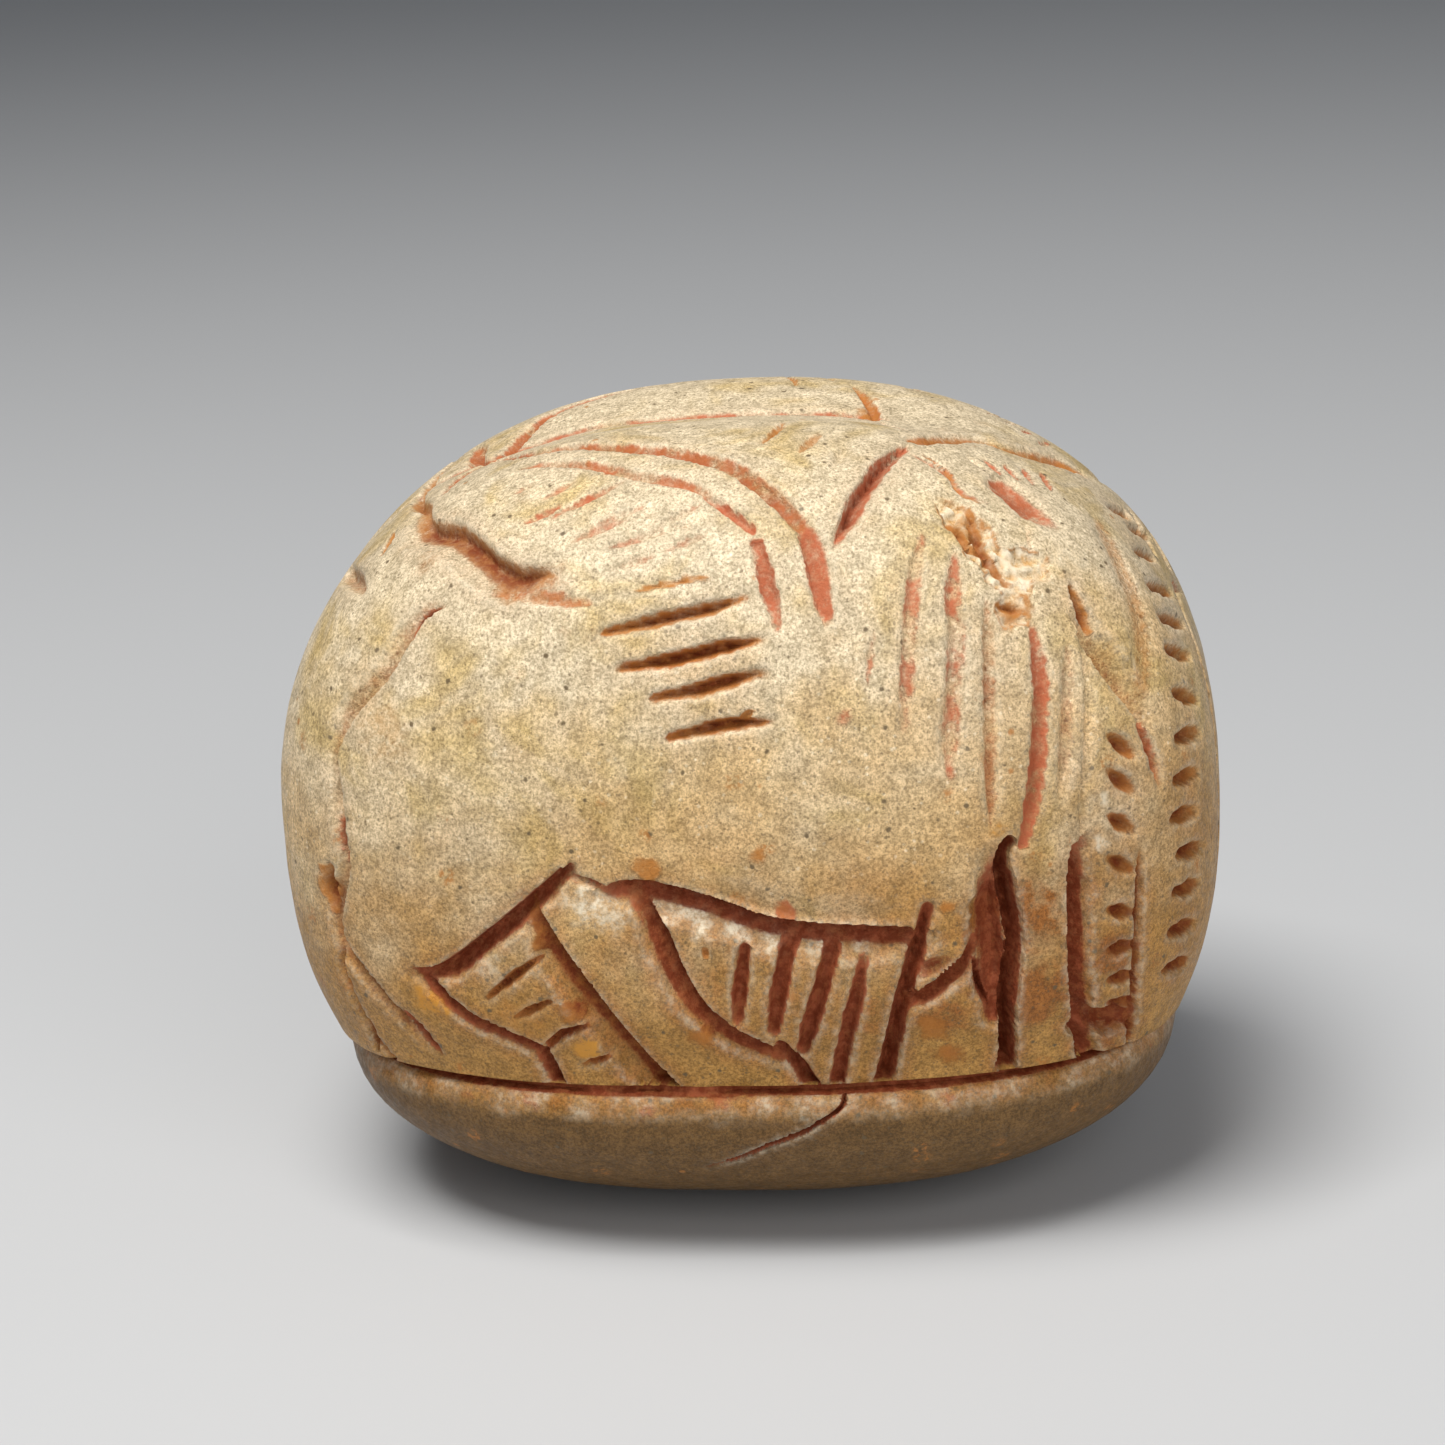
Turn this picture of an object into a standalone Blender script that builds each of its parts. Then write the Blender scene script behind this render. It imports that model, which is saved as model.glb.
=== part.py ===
"""Carved stone scarab, a beetle amulet pierced lengthwise as a bead.

Metres, +Z up. The beetle's head looks along +X and its flanks face -Y and +Y. The origin is the
middle of the small flat spot that the stone rests on.
"""

import bisect
import math

import bmesh
import bpy
from mathutils import Matrix, Vector

MM = 0.001

# The ovoid body above the groove
LENGTH = 0.0459
WIDTH = 0.0357
BACK_RISE = 0.0194
FLANK_DROP = 0.0211
LENGTH_POWER = 2.27
WIDTH_POWER = 3.5
HEIGHT_POWER = 2.34

# The dip between the two wing cases, and the tuck of the flanks over the folded legs
DIP_DEPTH = 0.0008
DIP_WIDTH = 0.0034
DIP_MIDDLE = -0.0020
DIP_REACH = 0.0125
LEG_TUCK = 0.0008
LEG_HEIGHT = 0.0048

# The rounded base below the groove
GROOVE_DROP = 0.0098
GROOVE_HEIGHT = 0.0005
GROOVE_INSET = 0.0010
BASE_LENGTH = 0.0416
BASE_WIDTH = 0.0332
BASE_EDGE = 0.0009
BASE_SLOPE = 0.0004
BELLY_DEPTH = 0.0083
BASE_POWER = 2.65
FLAT_SPOT_CUT = 0.0005

# The threading hole
BORE_DIAMETER = 0.0032
BORE_HEIGHT = 0.0135
BORE_SIDES = 16

# The mesh
SEGMENTS = 40
BODY_RINGS = 16
BELLY_RINGS = 5
TOP_RING_TURN = 86
SMOOTH_ANGLE = 35

# How the cuts are laid and shaped: V-shaped sections a step apart, with lips clear of the surface
STROKE_STEP = 0.0027
CURVE_STEPS = 8
RUN_OUT = 0.0020
RUN_OUT_SHARE = 0.35
LEAST_WIDTH = 0.6
LEAST_DEPTH_SHARE = 0.02
LIP_LIFT = 0.0005
END_LIFT = 0.00005
SIGHT_STEPS = 700
HALVINGS = 40
BIT_OVERRUN = 0.004

# The side drawing: a sheet through the stone's middle, squared up to a low sighting point
SIGHT_DISTANCE = 0.1732
SIGHT_ELEVATION = 17.5
SIGHT_TURN = 5.0
SIGHT_ROLL = -2.6
DRAWN_LENGTH = 0.0459
DRAWN_HEIGHT = 0.0384
DRAWING_SHIFT = 0.65

STONE_COLOUR = (0.60, 0.50, 0.34, 1.0)
STONE_ROUGHNESS = 0.55

BASE_TOP = -GROOVE_DROP - GROOVE_HEIGHT
BASE_RIM = BASE_TOP - BASE_EDGE
FLAT_LEVEL = BASE_RIM - BELLY_DEPTH + FLAT_SPOT_CUT
MIDDLE_HEIGHT = -FLAT_LEVEL
HEIGHT = MIDDLE_HEIGHT + BACK_RISE
NEAR, FAR = 1, -1


def ease(t):
    """Runs smoothly from 0 to 1 as t does."""
    t = max(0.0, min(1.0, t))
    return t * t * (3 - 2 * t)


def dip(x, y):
    """How far the back sinks along the line between the wing cases."""
    return DIP_DEPTH * math.exp(-((y / DIP_WIDTH) ** 2) - ((x - DIP_MIDDLE) / DIP_REACH) ** 6)


def half_width(z):
    """The body's half width at its middle for a height, less the tuck over the legs."""
    return WIDTH / 2 - LEG_TUCK * ease((LEG_HEIGHT - GROOVE_DROP - z) / LEG_HEIGHT)


def body_value(point):
    """Under 1 inside the body's full ovoid, with heights counted from its widest level."""
    z = point.z + dip(point.x, point.y) if point.z > 0 else point.z
    reach = BACK_RISE if z > 0 else FLANK_DROP
    return (
        abs(2 * point.x / LENGTH) ** LENGTH_POWER
        + abs(point.y / half_width(z)) ** WIDTH_POWER
        + abs(z / reach) ** HEIGHT_POWER
    )


def base_value(point):
    """Under 1 inside the base and its rounded belly."""
    plan = abs(2 * point.x / BASE_LENGTH) ** BASE_POWER + abs(2 * point.y / BASE_WIDTH) ** BASE_POWER
    depth = max(0.0, BASE_RIM - point.z) / BELLY_DEPTH
    return plan ** (2 / BASE_POWER) + depth**2


def value_at(point):
    return body_value(point) if point.z > -GROOVE_DROP else base_value(point)


def normal_at(point):
    """The outward direction at a point of the stone's surface."""
    step = 0.00002
    axes = (Vector((step, 0, 0)), Vector((0, step, 0)), Vector((0, 0, step)))
    form = body_value if point.z > -GROOVE_DROP else base_value
    return Vector([form(point + axis) - form(point - axis) for axis in axes]).normalized()


def surface_along(start, direction):
    """The first point where a line meets the stone, or the nearest surface to a line that misses it."""
    reach = start.length + LENGTH
    nearest = None
    last = start
    for i in range(1, SIGHT_STEPS + 1):
        here = start + direction * (reach * i / SIGHT_STEPS)
        value = value_at(here)
        if value < 1:
            outside, inside = last, here
            for _ in range(HALVINGS):
                middle = (outside + inside) / 2
                if value_at(middle) < 1:
                    inside = middle
                else:
                    outside = middle
            return outside
        if nearest is None or value < nearest[0]:
            nearest = (value, here)
        last = here
    return surface_along(nearest[1].normalized() * LENGTH, -nearest[1].normalized())


def sight_axes():
    """The side drawing's right and up directions, and the direction from the stone to the sighting point."""
    rise, turn, roll = (math.radians(a) for a in (SIGHT_ELEVATION, SIGHT_TURN, SIGHT_ROLL))
    back = Vector((math.cos(rise) * math.sin(turn), -math.cos(rise) * math.cos(turn), math.sin(rise)))
    right = Vector((math.cos(turn), math.sin(turn), 0))
    up = back.cross(right)
    rolled = right * math.cos(roll) + up * math.sin(roll)
    return rolled, up * math.cos(roll) - right * math.sin(roll), back


def on_side(u, v):
    """The point of the near flank under a mark on the side drawing, in millimetres from its middle."""
    right, up, back = sight_axes()
    mark = right * (u * MM * LENGTH / DRAWN_LENGTH)
    mark += up * ((v + DRAWING_SHIFT) * MM * HEIGHT / DRAWN_HEIGHT)
    eye = back * SIGHT_DISTANCE
    return surface_along(eye, (mark - eye).normalized())


def on_back(x, y):
    return surface_along(Vector((x * MM, y * MM, LENGTH)), Vector((0, 0, -1)))


def on_front(y, z):
    return surface_along(Vector((LENGTH, y * MM, z * MM)), Vector((-1, 0, 0)))


def on_tail(y, z):
    return surface_along(Vector((-LENGTH, y * MM, z * MM)), Vector((1, 0, 0)))


def curve_at(t, before, start, end, after):
    """A value t of the way from start to end, on the smooth curve through the four."""
    bend = 2 * before - 5 * start + 4 * end - after
    twist = 3 * start - before - 3 * end + after
    return 0.5 * (2 * start + (end - before) * t + bend * t**2 + twist * t**3)


def smooth_line(marks):
    """Marks close together on a smooth line through the given ones."""
    ends = [marks[0], *marks, marks[-1]]
    line = []
    for a, b, c, d in zip(ends, ends[1:], ends[2:], ends[3:]):
        for i in range(CURVE_STEPS):
            line.append([curve_at(i / CURVE_STEPS, *values) for values in zip(a, b, c, d)])
    return [*line, marks[-1]]


def smooth_route(marks, lay):
    """Surface points along the smooth line, about a stroke's step apart, and at least three."""
    line = smooth_line(marks)
    gone = [0.0]
    for here, there in zip(line, line[1:]):
        gone.append(gone[-1] + math.dist(here, there))
    count = max(2, round(gone[-1] * MM / STROKE_STEP))
    points = []
    for i in range(count + 1):
        wanted = gone[-1] * i / count
        k = min(bisect.bisect_right(gone, wanted), len(line) - 1)
        t = (wanted - gone[k - 1]) / (gone[k] - gone[k - 1])
        points.append(lay(*[p + (q - p) * t for p, q in zip(line[k - 1], line[k])]))
    return points


class Stroke:
    """One chisel cut: marks on a drawing, depth, and the width on its left and on its right, in millimetres.

    Left and right are those of someone who looks at the surface and follows the marks. The ends
    are shares of the full depth: 0 runs out to nothing and 1 stops square.
    """

    def __init__(self, name, marks, depth, wide, ends=(0, 0), lay=on_side, sides=(NEAR, FAR)):
        self.name = name
        self.marks = marks
        self.depth = depth * MM
        self.wide = [w * MM for w in wide]
        self.ends = ends
        self.lay = lay
        self.sides = sides

    def share(self, gone, total):
        """How deep the cut is, as a share of its full depth, at a way gone of its total length."""
        start, end = self.ends
        run = min(RUN_OUT, RUN_OUT_SHARE * total)
        run_in = start + (1 - start) * gone / run
        run_out = end + (1 - end) * (total - gone) / run
        return min(1.0, run_in, run_out)

    def sections(self):
        """Triangles across the cut, from its left lip over its right lip to its bottom."""
        points = smooth_route(self.marks, self.lay)
        last = len(points) - 1
        total = sum((b - a).length for a, b in zip(points, points[1:]))
        rows = []
        for i, point in enumerate(points):
            along = (points[min(i + 1, last)] - points[max(i - 1, 0)]).normalized()
            normal = normal_at(point)
            right = along.cross(normal).normalized()
            share = self.share(total * i / last, total)
            depth = self.depth * share if share > LEAST_DEPTH_SHARE else -END_LIFT
            half = [w * max(share, LEAST_WIDTH) * (1 + LIP_LIFT / self.depth) for w in self.wide]
            top = point + normal * LIP_LIFT
            rows.append((top - right * half[0], top + right * half[1], point - normal * depth))
        return rows


def loft(rows):
    """A closed bmesh through triangular sections."""
    bm = bmesh.new()
    rings = [[bm.verts.new(p) for p in row] for row in rows]
    for one, two in zip(rings, rings[1:]):
        for i in range(3):
            j = (i + 1) % 3
            bm.faces.new((one[i], one[j], two[j], two[i]))
    bm.faces.new(rings[0])
    bm.faces.new(rings[-1])
    bmesh.ops.triangulate(bm, faces=bm.faces)
    bmesh.ops.recalc_face_normals(bm, faces=bm.faces)
    return bm


def add_object(bm, name, collection):
    mesh = bpy.data.meshes.new(name)
    bm.to_mesh(mesh)
    bm.free()
    obj = bpy.data.objects.new(name, mesh)
    collection.objects.link(obj)
    return obj


def add_cutter(bm, name, cutters):
    bmesh.ops.translate(bm, verts=bm.verts, vec=(0, 0, MIDDLE_HEIGHT))
    obj = add_object(bm, name, cutters)
    obj.hide_render = True
    obj.display_type = "WIRE"
    return obj


def cut_stroke(stroke, cutters):
    for side in stroke.sides:
        rows = [[Vector((p.x, p.y * side, p.z)) for p in row] for row in stroke.sections()]
        add_cutter(loft(rows), f"{stroke.name}_{'near' if side == NEAR else 'far'}", cutters)


def wing_strokes():
    """The wing cases: their edges, the lens between them and the hatching of the lower wing."""
    return [
        Stroke("wing_edge", [(-16.0, 13.5), (-12.8, 15.4), (-9.0, 16.1), (-4.1, 15.8), (-1.4, 15.1),
               (0, 14.2), (2.1, 12.1)], 0.6, (0.45, 0.3), (0, 0.8)),
        Stroke("wing_edge_end", [(1.6, 13.0), (2.4, 11.1), (3.2, 7.7)], 0.5, (1.05, 0.2), (0, 0.8)),
        Stroke("inner_edge", [(-12.2, 14.9), (-9.0, 15.2), (-4.6, 14.4), (-2.4, 13.7), (-0.2, 11.9)], 0.35,
               (0.35, 0.3), (0, 0.6)),
        Stroke("inner_bar", [(0, 11.2), (0.6, 8.9), (1.0, 7.0)], 0.45, (0.42, 0.42), (0.8, 0.3)),
        Stroke("shoulder_edge", [(7.3, 16.1), (5.5, 14.4), (4.5, 12.6), (3.8, 10.7)], 0.75, (0.75, 0.25),
               (0.6, 0)),
        Stroke("wing_heel", [(-16.5, 12.9), (-15.1, 12.0), (-12.8, 10.1), (-9.6, 9.5)], 0.9, (0.35, 1.6),
               (0.4, 0)),
        Stroke("flank_top", [(-13.8, 8.5), (-11.4, 8.4), (-7.8, 8.1)], 0.25, (0.7, 0.2)),
        Stroke("flank_edge", [(-15.3, 8.3), (-16.6, 7.6), (-17.5, 6.3), (-18.5, 4.6), (-20.1, 2.8),
               (-21.1, 0.8)], 0.5, (0.2, 1.0), (0, 0.5)),
        Stroke("heel_mark", [(-15.7, 8.1), (-16.6, 7.6), (-17.5, 6.4)], 0.75, (0.18, 0.3), (0.3, 0)),
        Stroke("tail_tick", [(-18.1, 11.9), (-18.5, 11.1), (-18.9, 10.5)], 0.35, (0.25, 0.25)),
        Stroke("tail_dent", [(-20.0, 10.1), (-19.6, 8.8)], 0.6, (0.5, 0.5), (0.4, 0)),
        Stroke("wing_hatch_1", [(-7.6, 6.8), (-4.9, 7.5), (-2.2, 8.1), (0, 8.7)], 0.7, (0.3, 0.5),
               (0.5, 0)),
        Stroke("wing_hatch_2", [(-6.8, 5.0), (-4.1, 5.5), (-1.7, 6.1), (0.8, 6.5)], 0.85, (0.32, 0.52),
               (0.5, 0)),
        Stroke("wing_hatch_3", [(-5.1, 3.5), (-2.8, 4.0), (-0.6, 4.6), (1.0, 4.8)], 0.8, (0.32, 0.52),
               (0.5, 0)),
        Stroke("wing_hatch_4", [(-4.3, 1.5), (-1.9, 2.1), (-0.9, 2.2), (1.0, 2.3)], 0.8, (0.32, 0.48),
               (0.5, 0.1)),
        Stroke("back_tick_1", [(1.5, 17.4), (0.1, 16.1)], 0.3, (0.25, 0.25)),
        Stroke("back_tick_2", [(3.3, 16.9), (2.0, 15.7)], 0.3, (0.35, 0.35)),
    ]


def leg_strokes():
    """The folded legs below the flank: a sunk field with stepped edges, and the hatching on it."""
    return [
        Stroke("leg_step_tail", [(-17.2, -10.2), (-15.7, -10.0), (-13.9, -8.7), (-11.9, -7.1),
               (-9.8, -5.2)], 1.05, (0.18, 0.95), (0.3, 0.8)),
        Stroke("thigh_top", [(-9.9, -5.4), (-8.4, -5.7), (-7.5, -6.1)], 0.4, (0.12, 0.4), (0.8, 0.8)),
        Stroke("leg_step", [(-7.3, -6.0), (-6.1, -5.8), (-3.7, -6.3), (-1.7, -6.9), (0.6, -7.7),
               (3.9, -8.1), (7.7, -8.2)], 1.2, (0.2, 1.75), (0.5, 0.8)),
        Stroke("leg_end", [(8.6, -7.1), (7.9, -9.9), (7.4, -11.7), (6.4, -15.9)], 1.2, (0.5, 0.5),
               (0.5, 1)),
        Stroke("thigh_front", [(-5.9, -6.3), (-4.6, -8.3), (-3.7, -10.4), (-2.4, -12.3), (-0.7, -13.5),
               (1.3, -14.3)], 1.1, (0.2, 1.15), (0.5, 0.7)),
        Stroke("thigh_back", [(-10.9, -7.3), (-9.6, -9.4), (-7.9, -11.7), (-6.1, -13.9), (-4.0, -16.1)],
               1.2, (0.18, 1.7), (0.4, 1)),
        Stroke("foot_edge", [(-16.9, -10.3), (-15.1, -11.9), (-13.6, -12.9), (-11.0, -14.0), (-10.4, -14.5),
               (-9.7, -15.9)], 0.85, (0.22, 0.7), (0.5, 1)),
        Stroke("toe", [(1.2, -14.0), (2.0, -14.9), (2.8, -16.1)], 1.0, (0.5, 0.4), (0.5, 1)),
        Stroke("knee_break", [(7.4, -11.9), (9.0, -10.9), (10.2, -9.9), (10.9, -8.6)], 0.95, (0.14, 0.3),
               (0.9, 0.3)),
        Stroke("shin_hatch_1", [(-13.5, -11.6), (-11.9, -10.3), (-11.0, -9.7)], 0.6, (0.25, 0.35),
               (0.3, 0.5)),
        Stroke("shin_hatch_2", [(-12.1, -12.6), (-10.4, -11.8)], 0.5, (0.22, 0.3), (0.2, 0.5)),
        Stroke("shin_hatch_3", [(-10.4, -14.0), (-9.6, -13.4), (-8.5, -13.1)], 0.7, (0.25, 0.35),
               (0.8, 0.4)),
        Stroke("shin_hatch_4", [(-8.7, -15.0), (-7.3, -14.6)], 0.45, (0.25, 0.25), (0.3, 0.3)),
        Stroke("leg_hatch_1", [(-0.6, -9.2), (-0.8, -11.2), (-0.9, -12.8)], 0.7, (0.38, 0.38), (0.6, 0.4)),
        Stroke("leg_hatch_2", [(1.7, -8.9), (1.2, -10.9), (0.9, -13.3)], 0.8, (0.5, 0.45), (0.7, 0.5)),
        Stroke("leg_hatch_3", [(3.8, -9.3), (3.1, -11.7), (2.4, -14.2)], 0.85, (0.5, 0.48), (0.6, 0.6)),
        Stroke("leg_hatch_4", [(5.4, -9.7), (5.1, -11.3), (4.6, -13.4), (4.1, -15.9)], 0.7, (0.38, 0.4),
               (0.3, 1)),
    ]


def shoulder_strokes():
    """The upright scoring behind the head, and the deep slots that part the forelegs."""
    return [
        Stroke("scoring_1", [(6.0, 7.4), (5.5, 3.8)], 0.2, (0.2, 0.2)),
        Stroke("scoring_2", [(8.4, 12.1), (7.8, 8.9), (7.5, 4.4), (7.4, 1.1)], 0.35, (0.4, 0.3)),
        Stroke("scoring_3", [(10.0, 11.1), (9.8, 8.2), (10.0, 6.8), (9.7, 1.9), (9.7, -1.2)], 0.42,
               (0.48, 0.4)),
        Stroke("scoring_4", [(11.5, 8.9), (11.6, 3.4), (11.7, -3.6)], 0.42, (0.5, 0.22)),
        Stroke("scoring_5", [(13.8, 7.5), (14.3, 4.4), (14.3, 3.1), (14.0, -1.1), (13.4, -3.9)], 0.5,
               (0.45, 0.45), (0, 0.5)),
        Stroke("scoring_6", [(15.6, 6.9), (15.7, 4.4), (15.5, 0.5), (15.2, -2.4)], 0.36, (0.42, 0.42)),
        Stroke("break_1", [(9.3, 12.3), (10.8, 11.1), (11.8, 10.3), (12.6, 9.5), (13.6, 9.1)], 0.4,
               (0.6, 0.3)),
        Stroke("eye_pit", [(12.4, 14.0), (14.6, 12.5)], 0.9, (0.42, 0.42), (0.9, 0)),
        Stroke("neck_pit", [(15.8, 9.0), (16.2, 8.0), (16.8, 6.9)], 1.1, (0.5, 0.28), (0.7, 0.4)),
        Stroke("neck_channel", [(16.3, 6.6), (17.2, 5.2), (18.2, 3.9), (19.3, 2.4)], 0.8, (1.6, 0.3),
               (0.7, 0.5)),
        Stroke("foreleg_slot", [(12.7, -3.8), (12.4, -4.9), (13.0, -8.7), (12.7, -12.0), (12.6, -15.9)],
               1.9, (0.45, 0.5), (0.7, 1)),
        Stroke("foreleg_slope", [(12.2, -4.8), (11.9, -5.9), (12.0, -7.9), (12.2, -10.4), (12.2, -12.4)],
               1.2, (0.5, 1.3), (0.3, 0.7)),
        Stroke("foreleg_front", [(16.1, -3.9), (15.8, -4.9), (15.8, -9.7), (15.9, -11.7), (16.2, -14.7)],
               1.25, (1.15, 0.18), (0.5, 1)),
        Stroke("foreleg_pocket", [(16.3, -12.8), (17.4, -12.8), (18.8, -12.6)], 1.3, (0.85, 0.9),
               (0.9, 0.5)),
    ]


def head_strokes():
    """The notched bands down each side of the head, and the plain lines of its front."""
    cuts = [
        Stroke("collar", [(17.2, 12.6), (18.5, 9.9), (19.4, 7.4), (19.6, 4.4), (19.3, 2.8)], 0.5,
               (0.25, 1.5)),
        Stroke("cheek_groove", [(19.3, 2.2), (19.7, 1.1), (20.1, -0.1), (20.3, -1.3)], 0.6, (0.3, 0.35),
               (0.8, 0)),
        Stroke("band_groove", [(19.3, -3.7), (19.3, -6.5), (19.2, -8.6), (19.0, -11.8), (18.8, -13.6)], 0.65,
               (0.25, 0.35), (0, 1)),
        Stroke("face_arch", [(0, 9.5), (-3.4, 8.2), (-5.6, 3.5), (-6.2, -2.5), (-5.6, -8.8)], 0.5,
               (0.35, 0.35), (1, 0.5), on_front),
    ]
    inner = ((1.1, 0.5), (-0.7, 0.5), (-2.8, 0.35), (-4.9, 0.3), (-7.3, 0.1), (-9.1, -0.15), (-10.6, -0.15),
             (-11.9, 0))
    for i, (v, fall) in enumerate(inner):
        cuts.append(Stroke(f"inner_notch_{i + 1}", [(17.9, v + fall), (18.8, v - fall)], 0.6, (0.35, 0.35),
                           (0.3, 0.4)))
    outer = ((18.2, 12.8), (19.2, 11.8), (19.5, 10.7), (20.3, 9.0), (20.9, 7.4), (21.2, 5.8), (21.6, 3.6),
             (21.7, 1.6), (21.6, -0.5), (21.5, -2.4), (21.8, -4.2), (21.6, -6.1), (21.4, -8.1), (21.1, -10.0))
    for i, (u, v) in enumerate(outer):
        rise = 0.15 if i < 7 else -0.2
        cuts.append(Stroke(f"outer_notch_{i + 1}", [(u - 0.45, v + rise), (u + 0.45, v - rise)], 0.7,
                           (0.45, 0.45), (0.5, 0.6), sides=(NEAR,) if v > 11 else (NEAR, FAR)))
    return cuts


def tail_strokes():
    """The lines that close the wing cases and hind legs round the tail."""
    return [
        Stroke("hind_edge", [(-21.1, 0.8), (-20.8, -2.5), (-20.5, -5.0), (-20.9, -7.9), (-20.0, -9.8),
               (-18.1, -12.1), (-16.5, -13.8)], 0.55, (0.2, 0.75), (0.5, 0.3)),
        Stroke("hind_slit", [(-20.9, -2.5), (-20.8, -3.7), (-20.6, -5.0)], 1.0, (0.2, 0.28), (0.3, 0.3)),
        Stroke("tail_pit", [(-21.4, -5.1), (-21.4, -6.1), (-21.3, -7.2)], 0.8, (0.5, 0.6), (0.3, 0.3)),
        Stroke("hind_under", [(-21.0, -7.8), (-20.8, -9.3), (-20.4, -10.9), (-18.9, -13.7), (-17.9, -14.8)],
               0.45, (0.2, 0.5), (0, 0.4)),
        Stroke("foot_line", [(-17.9, -12.1), (-17.2, -12.7), (-16.5, -13.5), (-15.6, -14.6)], 0.55,
               (0.22, 0.5)),
        Stroke("tail_arch", [(0, 4.0), (-4.0, 2.4), (-7.0, -2.0), (-7.6, -8.6)], 0.5, (0.4, 0.4), (1, 0.5),
               on_tail),
    ]


def back_strokes():
    """The line down the middle of the back, the crossing behind the head and the groove over the tail end."""
    return [
        Stroke("back_line", [(-19.5, 0.1), (-7.0, 0.6), (0, 0), (6.4, 0.2)], 0.5, (0.9, 0.35), (0, 1),
               on_back, (NEAR,)),
        Stroke("crossing_near", [(6.9, -0.4), (7.7, -2.6), (8.3, -3.4)], 0.3, (0.3, 0.25), (0.6, 0),
               on_back, (NEAR,)),
        Stroke("crossing_far", [(6.5, 0), (6.5, 1.1), (6.2, 2.5), (5.3, 5.0)], 0.4, (0.35, 0.35), (1, 0.2),
               on_back, (NEAR,)),
        Stroke("neck_line", [(8.8, -5.5), (10.9, -2.2), (14.1, -0.5), (16.9, 2.9)], 0.65, (0.6, 0.35),
               (0.1, 0), on_back, (NEAR,)),
        Stroke("heel_groove", [(-14.5, -6.4), (-15.6, -3.1), (-15.8, 0), (-15.6, 3.1), (-14.5, 6.4)], 0.6,
               (0.45, 0.55), (0.8, 0.8), on_back, (NEAR,)),
    ]


def crack_strokes():
    """The hairline crack that runs under the near side of the base."""
    return [Stroke("crack", [(4.4, -15.7), (4.3, -17.3), (2.2, -18.4), (-0.8, -19.6), (-2.8, -20.2)],
                   0.35, (0.1, 0.1), (0.8, 0), on_side, (NEAR,))]


def plan_reach(angle, half_long, half_wide, length_power, width_power):
    """How far a plan outline reaches from its middle in one direction."""
    c, s = abs(math.cos(angle)) / half_long, abs(math.sin(angle)) / half_wide
    low, high = 0.0, half_long + half_wide
    for _ in range(HALVINGS):
        middle = (low + high) / 2
        if (middle * c) ** length_power + (middle * s) ** width_power < 1:
            low = middle
        else:
            high = middle
    return low


def body_level(z):
    reach = BACK_RISE if z > 0 else FLANK_DROP
    left = 1 - abs(z / reach) ** HEIGHT_POWER
    half_length = LENGTH / 2 * left ** (1 / LENGTH_POWER)
    return (z, half_length, half_width(z) * left ** (1 / WIDTH_POWER), LENGTH_POWER, WIDTH_POWER)


def base_level(z, inset=0.0):
    share = math.sqrt(1 - (max(0.0, BASE_RIM - z) / BELLY_DEPTH) ** 2)
    return (z, BASE_LENGTH / 2 * share - inset, BASE_WIDTH / 2 * share - inset, BASE_POWER, BASE_POWER)


def levels():
    """The plan outlines of the plain stone from its flat spot up to near the top of the back."""
    flat_turn = math.asin(-(FLAT_LEVEL - BASE_RIM) / BELLY_DEPTH)
    found = []
    for i in range(BELLY_RINGS):
        found.append(base_level(BASE_RIM - BELLY_DEPTH * math.sin(flat_turn * (1 - i / BELLY_RINGS))))
    found += [base_level(BASE_RIM), base_level(BASE_TOP, BASE_SLOPE), base_level(BASE_TOP, GROOVE_INSET)]
    found.append(base_level(-GROOVE_DROP, GROOVE_INSET))
    lowest = math.asin(-GROOVE_DROP / FLANK_DROP)
    for i in range(BODY_RINGS):
        turn = lowest + (math.radians(TOP_RING_TURN) - lowest) * i / (BODY_RINGS - 1)
        found.append(body_level((BACK_RISE if turn > 0 else FLANK_DROP) * math.sin(turn)))
    return found


def plain_stone(collection):
    """The stone before carving: a globe whose rings are moved to the levels, one ring to each."""
    rows = levels()
    bm = bmesh.new()
    bmesh.ops.create_uvsphere(bm, u_segments=SEGMENTS, v_segments=len(rows) + 1, radius=1)
    for vert in bm.verts:
        row = round((math.asin(max(-1.0, min(1.0, vert.co.z))) / math.pi + 0.5) * (len(rows) + 1)) - 1
        if row < 0:
            vert.co = (0, 0, FLAT_LEVEL)
        elif row >= len(rows):
            vert.co = (0, 0, BACK_RISE - dip(0, 0))
        else:
            z, *plan = rows[row]
            angle = math.atan2(vert.co.y, vert.co.x)
            reach = plan_reach(angle, *plan)
            vert.co = (reach * math.cos(angle), reach * math.sin(angle), z)
            vert.co.z -= dip(vert.co.x, vert.co.y) if z > 0 else 0
    bmesh.ops.translate(bm, verts=bm.verts, vec=(0, 0, MIDDLE_HEIGHT))
    bmesh.ops.triangulate(bm, faces=bm.faces)
    bmesh.ops.recalc_face_normals(bm, faces=bm.faces)
    return add_object(bm, "carved_scarab", collection)


def bore_cutter(cutters):
    """The threading hole, from tail to head through the lower body."""
    bm = bmesh.new()
    bmesh.ops.create_cone(bm, cap_ends=True, segments=BORE_SIDES, radius1=BORE_DIAMETER / 2,
                          radius2=BORE_DIAMETER / 2, depth=LENGTH + 2 * BIT_OVERRUN)
    bmesh.ops.rotate(bm, verts=bm.verts, cent=(0, 0, 0), matrix=Matrix.Rotation(math.radians(90), 3, "Y"))
    bmesh.ops.translate(bm, verts=bm.verts, vec=(0, 0, BORE_HEIGHT - MIDDLE_HEIGHT))
    add_cutter(bm, "threading_hole", cutters)


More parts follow.
